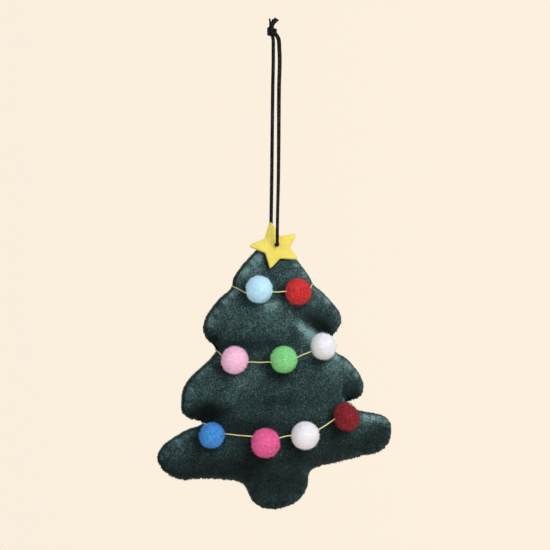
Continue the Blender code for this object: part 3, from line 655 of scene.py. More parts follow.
def tree_place(across, down):
    """The x and z of a place on the tree given as shares of its width and height."""
    return np.array([MIDDLE_X + across * TREE_WIDTH, PEAK_Z - down * TREE_HEIGHT])


print("outline", len(OUTLINE_SHARES), "places,", len(FRONT_FOLDS + BACK_FOLDS), "folds")


# %% Measuring on the flat sheet
def edge_normals(loop):
    """The outward directions of a flat loop that runs clockwise."""
    ahead = np.roll(loop, -1, 0) - np.roll(loop, 1, 0)
    return unit(np.stack([-ahead[:, 1], ahead[:, 0]], 1))


def line_distance(points, line):
    """For each flat point: how far it is from a line of straight stretches, how far along that
    line its nearest place lies as a share, and whether it lies left or right of it."""
    line = np.asarray(line, float)
    reach = np.linalg.norm(np.diff(line, axis=0), axis=1)
    passed = np.concatenate([[0], np.cumsum(reach)])
    least = np.full(len(points), np.inf)
    share, hand = np.zeros(len(points)), np.ones(len(points))
    for a, b, before, length in zip(line[:-1], line[1:], passed, reach):
        along = np.clip((points - a) @ (b - a) / length**2, 0, 1)
        off = points - a - along[:, None] * (b - a)
        away = np.linalg.norm(off, axis=1)
        nearer = away < least
        least[nearer] = away[nearer]
        share[nearer] = ((before + along * length) / passed[-1])[nearer]
        turn = (b - a)[0] * off[:, 1] - (b - a)[1] * off[:, 0]
        hand[nearer] = np.sign(turn)[nearer]
    return least, share, hand


def inside(points, loop):
    """Which flat points lie within a loop, by how often a ray to the right crosses it."""
    found = np.zeros(len(points), bool)
    for a, b in zip(loop, np.roll(loop, -1, 0)):
        spans = (a[1] > points[:, 1]) != (b[1] > points[:, 1])
        rise = b[1] - a[1] if b[1] != a[1] else 1e-12
        found ^= spans & (points[:, 0] < a[0] + (points[:, 1] - a[1]) * (b[0] - a[0]) / rise)
    return found


# %% A flat sheet of triangles
# The round hole's corners, its two collars of points, and how far off the grid keeps from it
HOLE_SIDES, COLLARS, COLLAR_CLEAR = 20, (1.35, 1.9), 2.3
# In a grid of even triangles a row is this much of a side high
ROW_HEIGHT = 0.866


def flat_sheet(loop, hole_at, hole_radius, rings, spacing):
    """Triangles that fill a loop round a round hole: rings of points close to the edge, a
    staggered grid inside them, joined so that no triangle is thinner than it must be. Gives
    the points, the triangles and which points lie on the loop."""
    turns = around_path(HOLE_SIDES)
    circle = np.stack([np.cos(turns), np.sin(turns)], 1)
    hole = hole_at + hole_radius * circle
    closed = ringed(loop)
    sets = [hole_at + hole_radius * grow * circle for grow in COLLARS]
    for ring in rings:
        sets.append(loop - ring * edge_normals(loop))
        sets[-1] = sets[-1][line_distance(sets[-1], closed)[0] > 0.85 * ring]
    low, high = loop.min(0), loop.max(0)
    rows = np.arange(low[1], high[1], spacing * ROW_HEIGHT)
    columns = np.arange(low[0], high[0], spacing)
    grid = np.stack(np.meshgrid(columns, rows), -1)
    grid[1::2, :, 0] += spacing / 2
    grid = grid.reshape(-1, 2)
    grid = grid[inside(grid, loop)]
    last = rings[-1] if rings else spacing / 3
    sets.append(grid[line_distance(grid, closed)[0] > last + spacing * 0.45])
    others = np.concatenate(sets)
    kept = inside(others, loop) & (line_distance(others, closed)[0] > spacing * 0.2)
    others = others[kept]
    far = np.linalg.norm(others - hole_at, axis=1)
    collar = np.arange(len(others)) < kept[: len(COLLARS) * HOLE_SIDES].sum()
    others = others[collar | (far > COLLAR_CLEAR * hole_radius)]
    points = np.concatenate([loop, hole, others])
    n, m = len(loop), len(hole)
    edges = [(i, (i + 1) % n) for i in range(n)] + [(n + i, n + (i + 1) % m) for i in range(m)]
    asked = [Vector(p) for p in (points / spacing).tolist()]
    made = geometry.delaunay_2d_cdt(asked, edges, [list(range(n))], 1, 1e-6)
    order = np.array([sources[0] for sources in made[3]])
    triangles = order[np.array([list(face) for face in made[2]])]
    middle = points[triangles].mean(1)
    triangles = triangles[np.linalg.norm(middle - hole_at, axis=1) > hole_radius * 0.98]
    a, b, c = (points[triangles[:, i]] for i in range(3))
    turn = (b - a)[:, 0] * (c - a)[:, 1] - (b - a)[:, 1] * (c - a)[:, 0]
    triangles[turn < 0] = triangles[turn < 0][:, ::-1]
    return points, triangles, np.arange(n)


# %% The film over the outline
def soap_film(points, triangles, held):
    """The height of a film that is held at some points and pushed evenly: the sum over each
    point's edges of weight times height difference equals its area, where an edge's weight is
    half the sum of the cotangents opposite it. Solved by conjugate gradients."""
    count = len(points)
    first, second, weight, push = [], [], [], np.zeros(count)
    for k in range(3):
        i, j, o = triangles[:, k], triangles[:, (k + 1) % 3], triangles[:, (k + 2) % 3]
        u, v = points[i] - points[o], points[j] - points[o]
        cross = np.abs(u[:, 0] * v[:, 1] - u[:, 1] * v[:, 0])
        first += [i, j]
        second += [j, i]
        weight += [(u * v).sum(1) / cross / 2] * 2
        push += np.bincount(i, cross / 6, count)
    first, second, weight = (np.concatenate(x) for x in (first, second, weight))
    total = np.bincount(first, weight, count)
    free = np.ones(count)
    free[held] = 0

    def pulled(height):
        return free * (total * height - np.bincount(first, weight * height[second], count))

    height = np.zeros(count)
    left = push * free
    step = left / total
    size = left @ step
    for _ in range(900):
        change = pulled(step)
        share = size / (step @ change)
        height += share * step
        left = left - share * change
        ready = left / total
        new_size = left @ ready
        if new_size < 1e-18 * (push @ push / total.mean()):
            break
        step = ready + new_size / size * step
        size = new_size
    return height / height.max()


# %% Folds and dents
# A fold's width on the side of the tier's tip and on the other, as shares of its own
TIP_SIDE, OTHER_SIDE = 1.3, 0.36
THREAD_DENT, DENT_WIDE = 0.1, 4 * MM


def folded(rise, flat, folds):
    """The height less each fold: depth times (1 - share along) to the power 0.7, times
    exp(-(off / width) squared). It is wide on the side of the tier's tip and steep on the
    tree's own side."""
    for depth, width, places in folds:
        line = [tree_place(*place) for place in places]
        off, share, hand = line_distance(flat, line)
        on_tip = (hand > 0) == (line[0][0] < 0)
        spread = width * np.where(on_tip, TIP_SIDE, OTHER_SIDE)
        rise = rise - depth * (1 - share) ** 0.7 * np.exp(-((off / spread) ** 2))
    return np.maximum(rise, 0)


def thread_dents(rise, flat, lines):
    """The height pulled in by the tight threads, by a tenth on the thread and less away from
    it, as exp(-(off / 4 mm) squared)."""
    for line in lines:
        off = line_distance(flat, line)[0]
        rise = rise * (1 - THREAD_DENT * np.exp(-((off / DENT_WIDE) ** 2)))
    return rise


loop = smooth_through([tree_place(*p) for p in OUTLINE_SHARES], SHEET_STEP, True)
closed_loop = ringed(loop)
sheet = flat_sheet(loop, cord_hole[[0, 2]], HOLE_RADIUS, EDGE_RINGS, SHEET_STEP)
film = soap_film(sheet[0], sheet[1], sheet[2])
print("velvet sheet", len(sheet[0]), "points", len(sheet[1]), "triangles")

# %% [markdown]
# ## Where the threads, the pom poms and the star lie
# The threads press the velvet in, and the balls and the star cast painted shadows on its pile,
# so their places are needed before the cloth is finished. Each ball has its place on the tree
# and its size across and along the thread. The star's corners are shares of its size, from its
# hole.

# %% The star's outline and the garlands' places
STAR_SIZE, STAR_THICK, STAR_CUP = 20.4 * MM, 1.4 * MM, 0.9 * MM
STAR_LEAN = math.radians(20)
STAR_SHARES = [
    (-0.108, 0.512), (-0.062, 0.512), (0.085, 0.193), (0.415, 0.262), (0.442, 0.215),
    (0.283, -0.061), (0.437, -0.275), (0.405, -0.31), (0.06, -0.295), (-0.146, -0.505),
    (-0.172, -0.502), (-0.25, -0.175), (-0.562, -0.022), (-0.562, 0.01), (-0.238, 0.146),
]
POM = 12.0 * MM
# A ball: its colour, its place as the outline's, and its size across and along the thread
GARLANDS = {
    "top": [
        ("end", -0.178, 0.179), ("light_blue", -0.097, 0.191, 1.01, 1.0),
        ("red", 0.07, 0.2, 0.99, 0.98), ("end", 0.159, 0.17),
    ],
    "middle": [
        ("end", -0.249, 0.414), ("pink", -0.204, 0.451, 1.02, 1.0),
        ("green", 0.0, 0.449, 1.0, 1.0), ("white_upper", 0.176, 0.401, 1.0, 0.93),
        ("end", 0.238, 0.392),
    ],
    "bottom": [
        ("end", -0.305, 0.684), ("blue", -0.296, 0.728, 0.97, 0.95),
        ("hot_pink", -0.077, 0.756, 1.1, 1.08), ("white_lower", 0.093, 0.729, 1.04, 1.04),
        ("dark_red", 0.277, 0.664, 1.04, 0.96), ("end", 0.303, 0.608),
    ],
}
balls = [stop for stop in itertools.chain(*GARLANDS.values()) if stop[0] != "end"]
front_lines = [[tree_place(*s[1:3]) for s in row] for row in GARLANDS.values()]
back_lines = [[line[0], line[-1]] for line in front_lines]
print("threads", len(front_lines), "with", len(balls), "balls")


# %% How far the velvet stands out
# The filling's lumps: how high they are, how broad, and their seed
LUMPS = ((0.45 * MM, 17 * MM, 3), (0.16 * MM, 6 * MM, 5))
PUCKER_HEIGHT, PUCKER_SIZE, PUCKER_AT = 0.3 * MM, 2.4 * MM, 1.5 * MM


def edge_ripple(share, size, seed):
    """Noise that changes only along the seam, so it makes short stripes square to it."""
    around = share * len(loop) * SHEET_STEP
    return cloud(np.stack([around, 0 * around, 0 * around], 1), size, seed)


def velvet_height(side):
    """How far the velvet stands from the seam's plane: swell times the root of the film, less
    dents and folds, with slow lumps of the filling under it and small puckers at the seam,
    which are most a millimetre and a half from it and gone at six."""
    flat = sheet[0]
    rise = SWELL * np.sqrt(film)
    rise = thread_dents(rise, flat, front_lines if side < 0 else back_lines)
    rise = folded(rise, flat, FRONT_FOLDS if side < 0 else BACK_FOLDS)
    from_seam, share, _ = line_distance(flat, closed_loop)
    near = from_seam / PUCKER_AT
    puckers = PUCKER_HEIGHT * edge_ripple(share, PUCKER_SIZE, 15 + side) * near * np.exp(1 - near)
    return rise + layered(raised(flat, side * 1.0), LUMPS) * np.sqrt(film) + puckers


print("filling swells", round(SWELL / MM, 1), "mm")


# %% The two velvet surfaces
def outward_at(points, triangles):
    """The outward direction at each point: the sum of its triangles' area directions."""
    a, b, c = (points[triangles[:, i]] for i in range(3))
    facing = np.cross(b - a, c - a)
    total = np.stack(
        [sum(np.bincount(triangles[:, k], facing[:, axis], len(points)) for k in range(3))
         for axis in range(3)], 1
    )
    return unit(total)


def kept_apart(points, side, least):
    """The points, with those that are closer than the least to the seam's plane, or beyond
    it, moved to that distance on their own side."""
    points[:, 1] = side * np.maximum(side * points[:, 1], least)
    return points


def velvet_surface(side, points):
    """One side's outer surface: its places, outward directions and triangles."""
    flat, triangles, edge = sheet
    facing = triangles if side < 0 else triangles[:, ::-1]
    outward = outward_at(points, facing)
    # At the seam the cloth faces outwards, and only a little to its own side
    outward[edge] = unit(raised(edge_normals(flat[edge]), side * 0.25))
    return points, outward, facing


surfaces = {}
for side in (-1, 1):
    stands = raised(sheet[0], side * (SEAM_HALF + velvet_height(side)))
    surfaces[side] = velvet_surface(side, stands)
print("front stands", round(-surfaces[-1][0][:, 1].min() / MM, 1), "mm from the seam")

# %% [markdown]
# ## Letting the cloth settle
# The film gives the bag's form, but it has no slack. Velvet is a little longer than the seam
# that gathers it, so it puckers there. Noise could copy that look, but Blender's cloth solver
# finds it. Both sides become one closed bag, held at the seam and at the cord's hole, with
# some slack near the seam and a little air inside. It is solved at ten times its size, where
# the solver's own settings fit, and no point moves more than the cap, so the outline stays.

# %% The cloth solver
SOLVER_SCALE = 10
SETTLE_FRAMES = 20
MOST_MOVE = 0.9 * MM
SLACK, SLACK_WIDE = 0.08, 5.0 * MM
# The cloth is free this far from the cord's hole, and held more and more over the last stretch
HOLE_FREE, HOLE_EASE = 13 * MM, 5 * MM
WEIGHT_LEVELS = 8


def add_weights(made, name, weights):
    """A vertex group whose weights are the given ones, to the nearest eighth."""
    group = made.vertex_groups.new(name=name)
    levels = np.round(np.clip(weights, 0, 1) * WEIGHT_LEVELS).astype(int)
    for level in range(1, WEIGHT_LEVELS + 1):
        group.add(np.flatnonzero(levels == level).tolist(), level / WEIGHT_LEVELS, "REPLACE")


def settle(surfaces):
    """Both sides' places after the cloth solver. A point moves m tanh(d / m) along its way,
    where d is how far the solver took it and m the cap."""
    flat = sheet[0]
    start = np.concatenate([surfaces[-1][0], surfaces[1][0]])
    bag = make_piece("bag", start * SOLVER_SCALE, closed_bag(surfaces[-1][2], len(flat)), velvet)
    from_seam = line_distance(flat, closed_loop)[0]
    from_hole = np.linalg.norm(flat - cord_hole[[0, 2]], axis=1)
    held = np.maximum(from_seam < 0.1 * MM, (HOLE_FREE - from_hole) / HOLE_EASE)
    slack = np.minimum(1.5 - from_seam / SLACK_WIDE, from_seam / (0.5 * MM))
    add_weights(bag, "held", np.tile(held, 2))
    add_weights(bag, "slack", np.tile(slack, 2))
    cloth = bag.modifiers.new("cloth", "CLOTH")
    ways = cloth.settings
    ways.quality, ways.mass, ways.bending_stiffness = 6, 0.3, 0.5
    ways.use_pressure, ways.uniform_pressure_force = True, 4.0
    ways.vertex_group_mass, ways.vertex_group_shrink = "held", "slack"
    ways.shrink_min, ways.shrink_max = 0.0, -SLACK
    ways.effector_weights.gravity = 0
    for number in range(1, SETTLE_FRAMES + 1):
        bpy.context.scene.frame_set(number)
    solved = bag.evaluated_get(bpy.context.evaluated_depsgraph_get()).data
    ended = np.empty(start.size, np.float32)
    solved.vertices.foreach_get("co", ended)
    bpy.context.scene.frame_set(1)
    bpy.data.objects.remove(bag)
    move = ended.reshape(-1, 3) / SOLVER_SCALE - start
    far = np.linalg.norm(move, axis=1, keepdims=True)
    print("solver moved", (np.percentile(far, [50, 90, 100]) / MM).round(2).tolist(), "mm")
    moved = start + move * MOST_MOVE * np.tanh(far / MOST_MOVE) / np.maximum(far, 1e-9)
    return {-1: moved[: len(flat)], 1: moved[len(flat) :]}


# %% Settling both sides
for side, points in settle(surfaces).items():
    surfaces[side] = velvet_surface(side, kept_apart(points, side, SEAM_HALF))
print("settled front stands", round(-surfaces[-1][0][:, 1].min() / MM, 1), "mm")

# %% [markdown]
# ## Nap: light and dark patches, with painted light and shade
# Velvet is lighter where its pile leans towards the eye, so handling leaves soft patches. They
# are kept as one number at each point, together with painted light and shade: broad noise,
# strokes that are partly pile brushed up or down and partly painted light and shade, painted
# shade in the creases, painted shadows of the balls and the star, a painted highlight beside
# the seam, and a darker line of painted shade in its groove.

# %% Brush strokes and painted light and shade on the front
# Each stroke, partly brushed pile and partly painted light and shade: its place, its width and
# height as shares of the tree's, the degrees it tilts down to the right, and how much lighter it
# makes the pile, or darker below nought
NAP_AND_PAINTED_LIGHT_STROKES = [
    (-0.109, 0.09, 0.05, 0.055, 0, 1.2), (0.06, 0.14, 0.05, 0.035, 0, 0.45),
    (-0.069, 0.3, 0.1, 0.05, 0, 0.4), (0.117, 0.35, 0.07, 0.014, 36, 1.3),
    (0.15, 0.36, 0.04, 0.02, 38, 0.8), (0.315, 0.475, 0.05, 0.04, 35, 0.25),
    (0.4, 0.67, 0.08, 0.018, 5, 0.9),
    (-0.41, 0.765, 0.06, 0.03, -25, 0.1), (0.1, 0.42, 0.05, 0.04, 0, 0.4),
    (-0.14, 0.49, 0.09, 0.03, 0, 0.4), (-0.025, 0.61, 0.15, 0.045, 0, -0.7),
    (-0.285, 0.385, 0.06, 0.028, 30, -0.9), (0.17, 0.29, 0.07, 0.03, 38, -0.7),
    (0.19, 0.332, 0.05, 0.02, 25, -0.9), (0.23, 0.345, 0.04, 0.022, -20, -0.6),
    (0.17, 0.318, 0.06, 0.012, 32, -1.1), (-0.345, 0.55, 0.03, 0.05, 0, 0.15),
    (-0.295, 0.645, 0.06, 0.035, 0, -2.6), (0.342, 0.56, 0.03, 0.032, 0, -1.1),
    (-0.015, 0.93, 0.13, 0.06, 0, -0.75), (-0.17, 0.84, 0.17, 0.045, 0, -1.35),
    (0.1, 0.82, 0.12, 0.03, 0, -0.8), (-0.066, 0.69, 0.17, 0.028, 0, -0.7),
    (-0.12, 0.395, 0.12, 0.022, 0, -0.65), (0.3, 0.775, 0.16, 0.03, -12, -0.9),
    (-0.35, 0.87, 0.15, 0.02, 0, -0.5), (0.11, 0.92, 0.045, 0.06, 0, -0.9),
    (-0.41, 0.77, 0.08, 0.05, -25, -0.3), (-0.1, 0.44, 0.2, 0.03, 0, -0.2),
    (-0.028, 0.245, 0.13, 0.026, 0, 1.1), (0.137, 0.383, 0.05, 0.028, 50, 1.0),
    (0.225, 0.468, 0.065, 0.055, 30, 0.65), (-0.127, 0.146, 0.05, 0.025, 0, 0.5),
    (-0.2, 0.2, 0.05, 0.025, 0, 0.7), (-0.32, 0.468, 0.07, 0.02, -38, 0.8),
    (-0.02, 0.515, 0.09, 0.04, 0, -0.5), (-0.148, 0.715, 0.08, 0.05, 0, -0.75),
    (0.03, 0.75, 0.05, 0.05, 0, -0.6), (0.217, 0.74, 0.06, 0.035, 0, -0.65),
    (0.461, 0.722, 0.06, 0.045, 0, -0.85), (-0.4, 0.838, 0.12, 0.03, 0, -0.6),
    (0.0, 0.885, 0.12, 0.03, 0, -0.55), (-0.45, 0.735, 0.05, 0.02, -30, 0.6),
    (0.042, 0.07, 0.06, 0.02, 0, 1.4), (0.174, 0.22, 0.03, 0.025, 0, 0.6),
    (0.235, 0.43, 0.04, 0.025, 30, 0.6), (-0.2, 0.515, 0.03, 0.02, 0, 0.5),
    (-0.285, 0.305, 0.02, 0.05, 0, 0.5), (-0.075, 0.068, 0.03, 0.016, 0, 0.7),
    (0.146, 0.4, 0.025, 0.035, 0, 1.5), (0.125, 0.43, 0.035, 0.02, 0, 0.9),
    (0.095, 0.325, 0.02, 0.014, 30, 0.9), (0.385, 0.757, 0.07, 0.028, -5, -0.4),
]
print("strokes", len(NAP_AND_PAINTED_LIGHT_STROKES))


# %% Painted shadows of the balls and the star, and painted shade in the creases
# Painted shadows under a pom pom and round the star: how much darker, how far aside of it, and how
# wide
BALL_SHADOW, BALL_ASIDE, BALL_WIDE = 0.34, np.array([-0.9, -1.9]) * MM, 0.52 * POM
STAR_SHADOW, STAR_ASIDE, STAR_WIDE = 0.4, np.array([-0.3, -0.5]) * MM, 0.8 * MM
# On the two sides of a crease: the painted shade and the painted light, and their reach as a share
# of the fold's width
CREASE_SHADE, DARK_REACH = 0.34, 0.6
CREASE_HIGHLIGHT, LIGHT_REACH = -0.1, 0.4
FULL_FOLD = 4 * MM


def painted_ball_and_star_shadows(flat):
    """How much darker the pile is painted in the shadows of the pom poms and the star: a soft spot
    down and to the left of each ball, and a line round the star's lower edge."""
    total = np.zeros(len(flat))
    for ball in balls:
        off = flat - tree_place(*ball[1:3]) - BALL_ASIDE
        total += BALL_SHADOW * np.exp(-((np.linalg.norm(off, axis=1) / BALL_WIDE) ** 4))
    corners = np.array(STAR_SHARES) * STAR_SIZE * [1, math.cos(STAR_LEAN)]
    corners = corners + cord_hole[[0, 2]] + STAR_ASIDE
    off = line_distance(flat, ringed(corners))[0]
    off[inside(flat, corners)] = 0
    return total + STAR_SHADOW * np.exp(-((off / STAR_WIDE) ** 2))


def painted_crease_shade(flat, depth, width, line):
    """How much painted shade darkens the pile in a fold, with a crisp edge at its crease: on the
    side of the tier's tip, which overhangs, it is painted shade that fades away from it, on the
    tree's side, which faces up to the light, a little painted light."""
    off, share, hand = line_distance(flat, line)
    on_tip = (hand > 0) == (line[0][0] < MIDDLE_X)
    strength = depth / FULL_FOLD * np.sqrt(1 - share)
    dark = CREASE_SHADE * np.exp(-off / (DARK_REACH * width))
    light = CREASE_HIGHLIGHT * np.exp(-off / (LIGHT_REACH * width))
    return strength * np.where(on_tip, dark, light)


# %% The pile's tone, with painted light and shade
NAP_CLOUDS = ((0.06, 13 * MM, 11), (0.05, 5 * MM, 12))
STROKE_CHANGE = 0.3
# Beside the seam: the painted highlight's middle and width, and the width of the painted shade in
# the groove
HIGHLIGHT_AT, HIGHLIGHT_WIDE, GROOVE_SHADE = 1.6 * MM, 1.5 * MM, 0.42 * MM
LINING_DARKER = 0.3


def nap_and_painted_light_at(flat, side):
    """The pile's tone at flat places, 0 dark to 1 light, with painted light and shade in it: 0.5,
    plus broad noise, plus for each stroke 0.3 times its strength times exp(-(u squared + v
    squared)), u and v the ways along and across it as shares of its size, less the painted shade
    of the creases and the painted shadows of the balls and the star. Beside the seam lies a
    painted highlight, lightest on the sides that face the light, and painted shade, darkest in the
    groove where the edge faces left."""
    tone = 0.5 + layered(raised(flat, side * 1.0), NAP_CLOUDS)
    for across, down, wide, high, tilt, strength in NAP_AND_PAINTED_LIGHT_STROKES if side < 0 else []:
        off = flat - tree_place(across, down)
        c, s = math.cos(math.radians(tilt)), math.sin(math.radians(tilt))
        u = (off[:, 0] * c - off[:, 1] * s) / (wide * TREE_WIDTH)
        v = (off[:, 0] * s + off[:, 1] * c) / (high * TREE_HEIGHT)
        tone = tone + STROKE_CHANGE * strength * np.exp(-(u * u + v * v))
    for depth, width, places in FRONT_FOLDS if side < 0 else BACK_FOLDS:
        tone = tone - painted_crease_shade(flat, depth, width, [tree_place(*place) for place in places])
    if side < 0:
        tone = tone - painted_ball_and_star_shadows(flat)
    from_seam, share, _ = line_distance(flat, closed_loop)
    rim = edge_normals(loop)[(share * len(loop)).astype(int) % len(loop)]
    # Painted highlight beside the seam, strongest on edges that face right and up, towards the lamp
    lit = 0.35 * rim[:, 0] + 0.9 * rim[:, 1]
    glow = 0.05 + 0.22 * lit + 0.22 * edge_ripple(share, 1.3 * MM, 14)
    tone = tone + glow * np.exp(-(((from_seam - HIGHLIGHT_AT) / HIGHLIGHT_WIDE) ** 2))
    # Painted shade in the seam's groove, darkest on edges that face left, away from the lamp
    return tone - (0.5 - 0.5 * rim[:, 0]) * np.exp(-((from_seam / GROOVE_SHADE) ** 2))


# %% The two panels
def make_velvet(name, side):
    """A closed panel: the outer surface, and a lining one panel's thickness inside it, joined
    by walls along the seam and round the cord's hole."""
    points, outward, facing = surfaces[side]
    lining = kept_apart(points - PANEL * outward, side, SEAM_HALF / 2)
    faces = closed_bag(facing, len(points))
    made = make_piece(name, np.concatenate([points, lining]), faces, velvet)
    # The pile's own tone with the painted light and shade, kept on both surfaces
    tone = nap_and_painted_light_at(sheet[0], side)
    keep_numbers(made, "nap_and_painted_light", np.concatenate([tone, tone - LINING_DARKER]))
    return made


for name, side, node in (("velvet_front", -1, "front_panel"), ("velvet_back", 1, "back_panel")):
    panel = make_velvet(name, side)
    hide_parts(node)
    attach(panel, "tree")
    print(name, len(panel.data.polygons), "faces")

# %% [markdown]
# ## Pile
# Up close, velvet is a forest of short hairs. A bump alone leaves a hard edge against the
# backdrop, so real hairs are planted: each is one thin triangle from a root to a tip. They lean
# down the cloth, as pile does on a tree cut lengthways from the roll.


# %% Planting hairs
def planted(points, outward, triangles, count, rng):
    """Random places spread evenly over a surface: a triangle picked by its area, then a place
    in it from two random shares. Gives places and outward directions."""
    a, b, c = (points[triangles[:, i]] for i in range(3))
    area = np.linalg.norm(np.cross(b - a, c - a), axis=1)
    picked = triangles[rng.choice(len(triangles), count, p=area / area.sum())]
    u, v = rng.random(count), rng.random(count)
    over = u + v > 1
    u[over], v[over] = 1 - u[over], 1 - v[over]
    shares = np.stack([1 - u - v, u, v], 1)[..., None]
    return (points[picked] * shares).sum(1), unit((outward[picked] * shares).sum(1))


def hairs(roots, outward, lean, length, width, rng, bent=True):
    """Hairs as ribbons: a root edge, for a bent one a middle edge, and a tip. A straight hair
    runs along its direction plus its lean. A bent one sets out along the direction plus half
    the lean, and ends along the direction plus 1.6 times the lean."""
    count = len(roots)
    level = unit(np.cross(outward, unit(rng.normal(size=(count, 3)))))
    half = level * (width / 2)
    if not bent:
        tip = roots + length * unit(outward + lean)
        points = np.stack([roots - half, roots + half, tip], 1)
        return points.reshape(-1, 3), np.arange(count * 3).reshape(-1, 3)
    middle = roots + 0.5 * length * unit(outward + 0.5 * lean)
    tip = middle + 0.5 * length * unit(outward + 1.6 * lean)
    points = np.stack([roots - half, roots + half, middle - half, middle + half, tip], 1)
    first = np.arange(count)[:, None] * 5
    faces = [first + [0, 1, 3], first + [0, 3, 2], first + [2, 3, 4]]
    return points.reshape(-1, 3), np.concatenate(faces)


def make_hairs(name, roots, outward, lean, length, width, tone, stuff, rng, bent=True):
    """A piece of hairs, each with its own tone on the map."""
    points, faces = hairs(roots, outward, lean, length, width, rng, bent)
    corners = 5 if bent else 3
    made = make_piece(name, points, faces, stuff, smooth=False)
    way = np.tile([0, 0, 0.5, 0.5, 1] if bent else [0, 0, 1], len(roots))
    places = np.stack([np.repeat(np.clip(tone, 0.01, 0.99), corners), way * 0.96 + 0.02], 1)
    keep_map(made, places)
    return made


# %% Velvet pile on both sides
PILE_HAIRS = 140_000
PILE_LENGTH, PILE_WIDTH, PILE_SUNK = 0.65 * MM, 0.085 * MM, 0.08 * MM


def make_pile(name, side, seed):
    """Hairs that lean down the cloth. A hair takes its tone from where its middle lies, plus a
    grain that is strongest where the pile is light, so hairs that cross keep one pattern."""
    rng = np.random.default_rng(seed)
    points, outward, facing = surfaces[side]
    roots, away = planted(points, outward, facing, PILE_HAIRS, rng)
    down = np.array([-0.2, 0, -0.8]) - 0.3 * rng.random((PILE_HAIRS, 1)) * [0, 0, 1]
    lean = down + 0.45 * rng.normal(size=(PILE_HAIRS, 3))
    lean -= (lean * away).sum(1, keepdims=True) * away
    length = PILE_LENGTH * rng.uniform(0.6, 1.3, (PILE_HAIRS, 1))
    middle = roots + 0.4 * length * unit(away + lean)
    tone = nap_and_painted_light_at(middle[:, [0, 2]], side)
    grain = cloud(middle * [1, 1, 0.6], 0.42 * MM, 25) + 0.2 * rng.normal(size=PILE_HAIRS)
    tone = tone - 0.01 + (0.45 + 0.8 * np.clip(2 * tone - 0.8, 0, 1)) * grain
    roots = roots - PILE_SUNK * away
    return make_hairs(
        name, roots, away, lean, length, PILE_WIDTH, tone, velvet_pile, rng, bent=False
    )


for name, side, seed in (("pile_front", -1, 21), ("pile_back", 1, 22)):
    pile = make_pile(name, side, seed)
    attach(pile, "tree")
    print(name, PILE_HAIRS, "hairs")


# %% Tufts along the seam
TUFTS, TUFT_HAIRS, TUFT_WIDTH = 900, 16, 0.09 * MM


def make_seam_tufts():
    """Tufts that stick out of the seam, where the pile of both panels meets: the hairs of one
    start within a quarter of a millimetre and run together to a common tip. Tufts are longest
    where the edge faces down, since the pile is brushed that way."""
    rng = np.random.default_rng(24)
    middle = np.repeat(rng.random(TUFTS) * len(loop), TUFT_HAIRS)
    hand = np.repeat(rng.choice([-1, 1], TUFTS), TUFT_HAIRS)[:, None]
    at = middle + rng.normal(0, 0.28, len(middle))

    def on_edge(at, deep, out):
        step = np.floor(at).astype(int) % len(loop)
        part = (at - np.floor(at))[:, None]
        place = loop[step] * (1 - part) + loop[(step + 1) % len(loop)] * part
        rim = edge_normals(loop)[step]
        return raised(place + out * rim, (hand * deep)[:, 0]), rim

    roots, rim = on_edge(at, np.abs(rng.normal(0.45, 0.15, hand.shape)) * MM, -0.15 * MM)
    low = np.clip(-rim[:, 1:], 0, 1)
    reach = np.repeat(rng.uniform(0.15, 0.6, TUFTS), TUFT_HAIRS)[:, None] * (0.7 + 0.6 * low)
    swing = np.repeat(rng.normal(0, 0.35, TUFTS), TUFT_HAIRS)
    tips, _ = on_edge(middle + swing, 0.35 * MM + 0 * hand, reach * MM)
    tips += rng.normal(0, 0.06, tips.shape) * MM - np.array([0, 0, 0.1 * MM])
    way = tips - roots
    length = np.linalg.norm(way, axis=1)[:, None] * rng.uniform(0.75, 1.1, (len(way), 1))
    # Painted light and shade: tufts are lighter on edges that face right and up, towards the lamp,
    # and darker on those that face left
    tone = 0.22 + 0.22 * np.clip(rim[:, 0] + 0.3 * rim[:, 1], -0.6, 1)
    tone = tone + rng.normal(0, 0.1, len(tone))
    lean = 0.15 * rng.normal(size=way.shape)
    return make_hairs(
        "seam_tufts", roots, unit(way), lean, length, TUFT_WIDTH, tone, velvet_pile, rng
    )


tufts = make_seam_tufts()
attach(tufts, "tree")
print("tufts", TUFTS)

# %% [markdown]
# ## Filling, seam and closing stitches
# Inside is loose white fibre. The two panels meet in a machine-sewn seam whose dark thread
# lies in the groove between them. The filling went in under the trunk, where the last gap was
# closed by hand with slanted stitches.


# %% The filling
FILLING_INSET, BELOW_CORD = 1.6 * MM, 3 * MM


def make_filling():
    """Both surfaces moved in by the inset, joined at their rims, below the cord only."""
    flat, triangles, _ = sheet
    below = flat[triangles][:, :, 1].max(1) < -DROP - BELOW_CORD
    inner = []
    for side in (-1, 1):
        points, outward, _ = surfaces[side]
        inner.append(kept_apart(points - FILLING_INSET * outward, side, SEAM_HALF))
    used, faces = np.unique(closed_bag(triangles[below], len(flat)), return_inverse=True)
    points = np.concatenate(inner)[used]
    return make_piece("filling", points, faces.reshape(-1, 3), white_filling)


stuffing = make_filling()
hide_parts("stuffing")
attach(stuffing, "tree")
print("filling", len(stuffing.data.polygons), "faces")

# %% The seam
SEAM_INSET, SEAM_STEP, SEAM_WAVE = 0.35 * MM, 0.5 * MM, 0.12 * MM
SEWING_RADIUS, SEWING_SIDES = 0.2 * MM, 8
seam_line = loop - SEAM_INSET * edge_normals(loop)
seam_path = smooth_through(raised(seam_line, 0.0), SEAM_STEP, True)
# The thread crosses from panel to panel every five steps, and its plies twist round it
way = np.arange(len(seam_path))
seam_path[:, 1] = SEAM_WAVE * np.sin(way * 2 * math.pi / 5)
twist = around_path(SEWING_SIDES) - way[:, None] * 1.1
ply = SEWING_RADIUS * (0.85 + 0.15 * np.cos(2 * twist))
seam = make_piece("seam_stitching", *tube(seam_path, ply, (0, 1, 0), True), sewing_thread)
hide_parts("seam_thread")
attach(seam, "tree")
print("seam", round(path_length(seam_path) / MM), "mm")

# %% The closing stitches
STITCHED, PITCH, STITCH_RADIUS = 22.0 * MM, 2.4 * MM, 0.15 * MM
